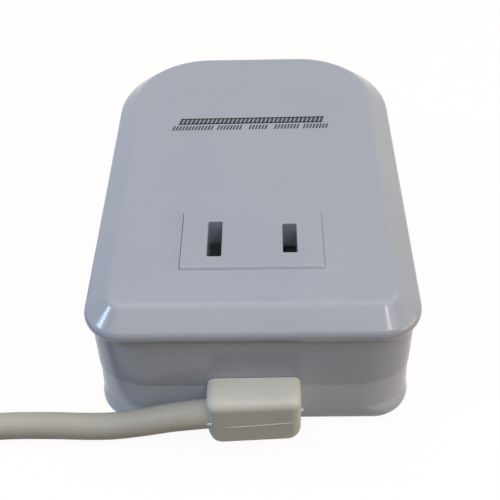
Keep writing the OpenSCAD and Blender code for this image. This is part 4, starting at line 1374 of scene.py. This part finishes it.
@dataclass
class RatingPrint:
    """A generic print on the top face: a hatched bar between two rules, and a row of dashes under it.

    The bar and the row are a middle, a width and a height.
    """

    top: float = CaseForm.height
    bar: Four = (-0.34, 13.5, 28.1, 1.95)
    bar_strokes: int = 35
    bar_stroke: float = 0.55
    rule: float = 0.32
    rule_past: float = 0.04
    row: Four = (-0.56, 11.33, 30.4, 1.45)
    row_places: int = 49
    row_stroke: float = 0.34
    row_groups: tuple[tuple[int, int], ...] = ((0, 13), (14, 8), (24, 6), (32, 8), (41, 8))
    turn: float = 0.45
    ink: float = 0.02
    slant: float = 0.28

    def tree(self) -> Tree:
        """Makes the node tree that repeats a slanted stroke along a line.

        Returns:
            The tree, with inputs for the strokes' number, pitch and size, and the material.
        """
        tree = new_tree("slanted_strokes", {"Number": "Int", "Pitch": "Float", "Stroke": "Vector",
                                            "Slant": "Float", "Ink": "Material"})
        node = partial(add_node, tree)
        given = node("NodeGroupInput").outputs
        step = node("ShaderNodeCombineXYZ", X=given["Pitch"])
        line = node("GeometryNodeMeshLine", Count=given["Number"], Offset=step)
        stroke = node("GeometryNodeMeshCube", Size=given["Stroke"])
        up = node("ShaderNodeSeparateXYZ", Vector=node("GeometryNodeInputPosition")).outputs["Y"]
        lean = node("ShaderNodeMath", {"operation": "MULTIPLY"}, _0=up, _1=given["Slant"])
        shift = node("ShaderNodeCombineXYZ", X=lean)
        slanted = node("GeometryNodeSetPosition", Geometry=stroke, Offset=shift)
        repeat(tree, line, slanted, given["Ink"])
        return tree

    def strokes(self, tree: Tree, start: Flat, size: Flat, number: int = 1,
                pitch: float = 1.0) -> bpy.types.Mesh:
        """Prints one run of strokes.

        Args:
            tree: the stroke tree.
            start: the first stroke's middle, before the print is turned.
            size: a stroke's width and height.
            number: how many strokes.
            pitch: from one to the next.

        Returns:
            The strokes, as a plain mesh in place.
        """
        run = make_piece("print_run", ([], []))
        stroke = Vector((*size, 2 * self.ink)) * MM
        run_tree(run, tree, {"Number": number, "Pitch": pitch * MM, "Stroke": stroke, "Slant": self.slant,
                             "Ink": INK.material()})
        run.data.transform(Matrix.Translation(Vector((*start, self.top)) * MM))
        return run.data

    def build(self) -> None:
        """Makes the print as one thin piece on the top face."""
        tree = self.tree()
        x, y, wide, tall = self.bar
        first, pitch = x - (wide - self.bar_stroke) / 2, (wide - self.bar_stroke) / (self.bar_strokes - 1)
        runs = [self.strokes(tree, (first, y), (self.bar_stroke, tall), self.bar_strokes, pitch)]
        for side in (-1, 1):
            up = side * (tall - self.rule) / 2
            rule = (wide + self.rule_past, self.rule)
            runs.append(self.strokes(tree, (x + self.slant * up, y + up), rule))
        x, y, wide, tall = self.row
        pitch = wide / self.row_places
        for start, number in self.row_groups:
            first = x - wide / 2 + (start + 0.5) * pitch
            runs.append(self.strokes(tree, (first, y), (self.row_stroke, tall), number, pitch))
        made = make_piece("generic_rating_print", ([], []))
        mesh = bmesh.new()
        for run in runs:
            mesh.from_mesh(run)
            bpy.data.meshes.remove(run)
        pivot = Matrix.Translation(Vector((*self.bar[:2], 0)) * MM)
        mesh.transform(pivot @ Matrix.Rotation(math.radians(self.turn), 4, "Z") @ pivot.inverted())
        mesh.to_mesh(made.data)
        mesh.free()
        dress(made, INK, "case", "dark_plastic", smooth=0)


@dataclass(frozen=True)
class ScrewSize:
    """One kind of screw, in millimetres: from its head's face, down its shank."""

    face_radius: float
    seat_radius: float
    head_height: float
    edge: float
    shank_radius: float
    shank_length: float
    drive_length: float
    drive_width: float
    drive_depth: float
    thread_pitch: float = 0.9


@dataclass
class Fasteners:
    """The screws: four under the base, four through the core and two beside the selector."""

    form: CaseForm
    case_screw: ScrewSize = ScrewSize(2.3, 2.3, 2.0, 0.45, 1.25, 10.9, 2.6, 0.5, 1.0)
    core_screw: ScrewSize = ScrewSize(2.6, 2.6, 1.7, 0.4, 1.42, 16.3, 3.0, 0.5, 0.85)
    side_screw: ScrewSize = ScrewSize(1.85, 1.0, 1.15, 0.05, 0.92, 3.1, 2.0, 0.5, 0.5, 0.6)
    case_z: float = 3.0
    core_z: float = 21.1
    side_sink: float = 0.1
    turns: Four = (12.0, 57.0, 31.0, 74.0)
    sides: int = 48
    thread_r: float = 0.1
    thread_sides: int = 4
    thread_steps: int = 20

    def lifted(self, tree: Tree, part: bpy.types.Node, z: Any, turn: float = 0.0) -> Socket:
        """The part of a screw that a node makes, lifted by a number or an output, and turned."""
        lift = add_node(tree, "ShaderNodeCombineXYZ", Z=z)
        return add_node(tree, "GeometryNodeTransform", Geometry=part, Translation=lift,
                        Rotation=(0, 0, turn)).outputs[0]

    def screw(self, tree: Tree, given: bpy.types.NodeOutputs) -> Socket:
        """Adds the nodes of one screw: a rounded head with a cross slot, and a shank with its thread.

        Args:
            tree: the screw tree.
            given: the tree's inputs.

        Returns:
            The screw, with its face at the origin.
        """
        node = partial(add_node, tree)
        face, edge, top = given["face_radius"], given["edge"], given["head_height"]
        shank, length = given["shank_radius"], given["shank_length"]
        inner, skirt = (node("ShaderNodeMath", {"operation": "SUBTRACT"}, _0=whole, _1=edge)
                        for whole in (face, top))
        solid = node("GeometryNodeMeshBoolean", {"operation": "UNION", "solver": "EXACT"})
        for low, high, depth, lift in ((inner, face, edge, 0.0), (face, given["seat_radius"], skirt, edge),
                                       (shank, shank, length, skirt)):
            cone = node("GeometryNodeMeshCone", Vertices=self.sides, Radius_Bottom=low, Radius_Top=high,
                        Depth=depth)
            tree.links.new(self.lifted(tree, cone, lift), solid.inputs["Mesh"])
        # The bar lies about the head's face, so only half of its height cuts
        depth = node("ShaderNodeMath", {"operation": "MULTIPLY"}, _0=given["drive_depth"], _1=2.0)
        size = node("ShaderNodeCombineXYZ", X=given["drive_length"], Y=given["drive_width"], Z=depth)
        bar = node("GeometryNodeMeshCube", Size=size)
        slotted = node("GeometryNodeMeshBoolean", {"operation": "DIFFERENCE", "solver": "EXACT"}, _0=solid)
        for part in (bar.outputs[0], self.lifted(tree, bar, 0.0, math.pi / 2)):
            tree.links.new(part, slotted.inputs["Mesh 2"])
        turns = node("ShaderNodeMath", {"operation": "DIVIDE"}, _0=length, _1=given["thread_pitch"])
        helix = node("GeometryNodeCurveSpiral", Resolution=self.thread_steps, Rotations=turns,
                     Start_Radius=shank, End_Radius=shank, Height=length)
        flank = node("GeometryNodeCurvePrimitiveCircle", Resolution=self.thread_sides,
                     Radius=self.thread_r * MM)
        thread = node("GeometryNodeCurveToMesh", Curve=helix, Profile_Curve=flank, Fill_Caps=True)
        join = node("GeometryNodeJoinGeometry")
        for part in (self.lifted(tree, thread, top), slotted.outputs[0]):
            tree.links.new(part, join.inputs[0])
        return join.outputs[0]

    def tree(self) -> Tree:
        """Makes the node tree that puts a cross-slotted screw at each point.

        Returns:
            The tree, with inputs for the places, the screw's sizes and the plating.
        """
        sizes = {size.name: "Float" for size in fields(ScrewSize)}
        tree = new_tree("cross_slotted_screws", {"Places": "Geometry", **sizes, "Plate": "Material"})
        given = add_node(tree, "NodeGroupInput").outputs
        lean = add_node(tree, "GeometryNodeInputNamedAttribute", {"data_type": "FLOAT_VECTOR"}, Name="lean")
        turn = add_node(tree, "FunctionNodeEulerToRotation", Euler=lean)
        repeat(tree, given["Places"], self.screw(tree, given), given["Plate"], Rotation=turn)
        return tree

    def screws(self, tree: Tree, name: str, size: ScrewSize, places: Sequence[tuple[Point, Point]]) -> Piece:
        """Makes one group of equal screws.

        Args:
            tree: the screw tree.
            name: the piece's name.
            size: the screw.
            places: each head's face and how the screw is turned, in degrees.

        Returns:
            The screws, as a plain mesh.
        """
        made = make_piece(name, ([], []))
        made.data.from_pydata([Vector(p) * MM for p, _ in places], [], [])
        leans = made.data.attributes.new("lean", "FLOAT_VECTOR", "POINT")
        for spot, (_, lean) in zip(leans.data, places):
            spot.vector = [math.radians(a) for a in lean]
        lengths = {part: mm * MM for part, mm in asdict(size).items()}
        run_tree(made, tree, {**lengths, "Plate": ZINC_STEEL.material()})
        return made

    def build(self) -> None:
        """Makes the three groups of screws and dresses them."""
        tree, f, turns = self.tree(), self.form, self.turns
        x, (y, z) = f.width / 2 - f.overhang - self.side_sink, f.selector
        under = [((*p, self.case_z), (0, 0, a)) for p, a in zip(f.posts, turns)]
        over = [((*p, self.core_z), (180, 0, a)) for p, a in zip(BaseShell.core_posts, turns)]
        beside = [((x, y + s * TopCover.selector_screw_y, z), (90, a, -90)) for s, a in zip((-1, 1), turns)]
        for kind, size, places in (("case", self.case_screw, under), ("core", self.core_screw, over),
                                   ("selector", self.side_screw, beside)):
            made = self.screws(tree, f"{kind}_screw_set", size, places)
            dress(made, ZINC_STEEL, "case", "zinc_steel", f"{kind}_screws", smooth=30)


@dataclass
class VoltageSelector:
    """The slide switch behind the right-hand wall: its knob is new, and the rest stays as built."""

    form: CaseForm
    travel: float = 4.0
    knob: Point = (4.0, 3.6, 27.15)
    knob_root: float = 0.4
    carriage: Four = (21.65, 23.55, 5.2, 6.0)
    groove: Flat = (0.5, 0.3)
    finishes: ClassVar[dict[str, Finish]] = {
        "selector_frame": ZINC_STEEL, "selector_base": PHENOLIC, "selector_terminals": BRASS,
        "selector_bridge": BRASS,
    }

    def grip(self, centre: Flat) -> Skin:
        """The part of the knob that stands out of the window, with three grooves for a finger.

        Args:
            centre: its middle along the case and its height.

        Returns:
            Points and faces.
        """
        (long, tall, tip), (wide, sink) = self.knob, self.groove
        y0, z0 = centre
        back = self.carriage[1] - self.knob_root
        edge = [(back, -long / 2), (tip, -long / 2)]
        for k in (-1, 0, 1):
            y = k * long / 4
            edge += [(tip, y - wide / 2), (tip - sink, y - wide / 4), (tip - sink, y + wide / 4),
                     (tip, y + wide / 2)]
        edge += [(tip, long / 2), (back, long / 2)]
        return loft([level(edge, z0 + z, (0.0, y0)) for z in (-tall / 2, tall / 2)])

    def build(self) -> None:
        """Makes the ribbed knob on its carriage and dresses the switch."""
        y, z = self.form.selector
        y -= self.travel / 2
        x0, x1, deep, high = self.carriage
        carriage = upright(((x0 + x1) / 2, y), (x1 - x0, deep), z - high / 2, z + high / 2)
        made = make_piece("ribbed_selector_knob", carriage)
        combine(made, Joining.ADD, self.grip((y, z)))
        soften(made, width_mm=0.1, degrees=30)
        dress(made, KNOB_ACETAL, "selector", "knob_plastic", "selector_knob")
        dress_nodes(self.finishes)


@dataclass
class Transformer:
    """The works inside the closed case, which stay as built and get their finishes."""

    finishes: ClassVar[dict[str, Finish]] = {
        "core_e_stack": CORE_STEEL, "core_i_stack": CORE_STEEL, "bobbin": DARK_NYLON,
        "bobbin_pins": ZINC_STEEL, "main_winding": COPPER, "tap_winding": COPPER, "winding_tape": TAPE,
        "thermal_fuse": FUSE_CASE, "insulating_board": FIBRE_BOARD, "outlet_back": DARK_NYLON,
        "neutral_contact": BRASS, "live_contact": BRASS,
        "live_in_wire": VINYLS["black"], "fuse_wire": VINYLS["black"],
        "neutral_in_wire": VINYLS["white"], "common_wire": VINYLS["white"], "output_wire": VINYLS["red"],
        "low_tap_wire": VINYLS["blue"], "high_tap_wire": VINYLS["amber"],
    }

    def build(self) -> None:
        """Dresses the core, the coil, the contacts and the wires."""
        dress_nodes(self.finishes)


def main() -> None:
    """Builds the camera and the cord first, then the case and what is in it."""
    logging.basicConfig(level=logging.INFO, format="%(message)s")
    Studio().build()
    MainsCord().build(MainsPlug().build())
    form = CaseForm()
    for part in (TopCover(form), BaseShell(form), OutletFace(form), StrainRelief(form), RatingPrint(),
                 Fasteners(form), VoltageSelector(form), Transformer()):
        part.build()


if __name__ == "__main__":
    main()
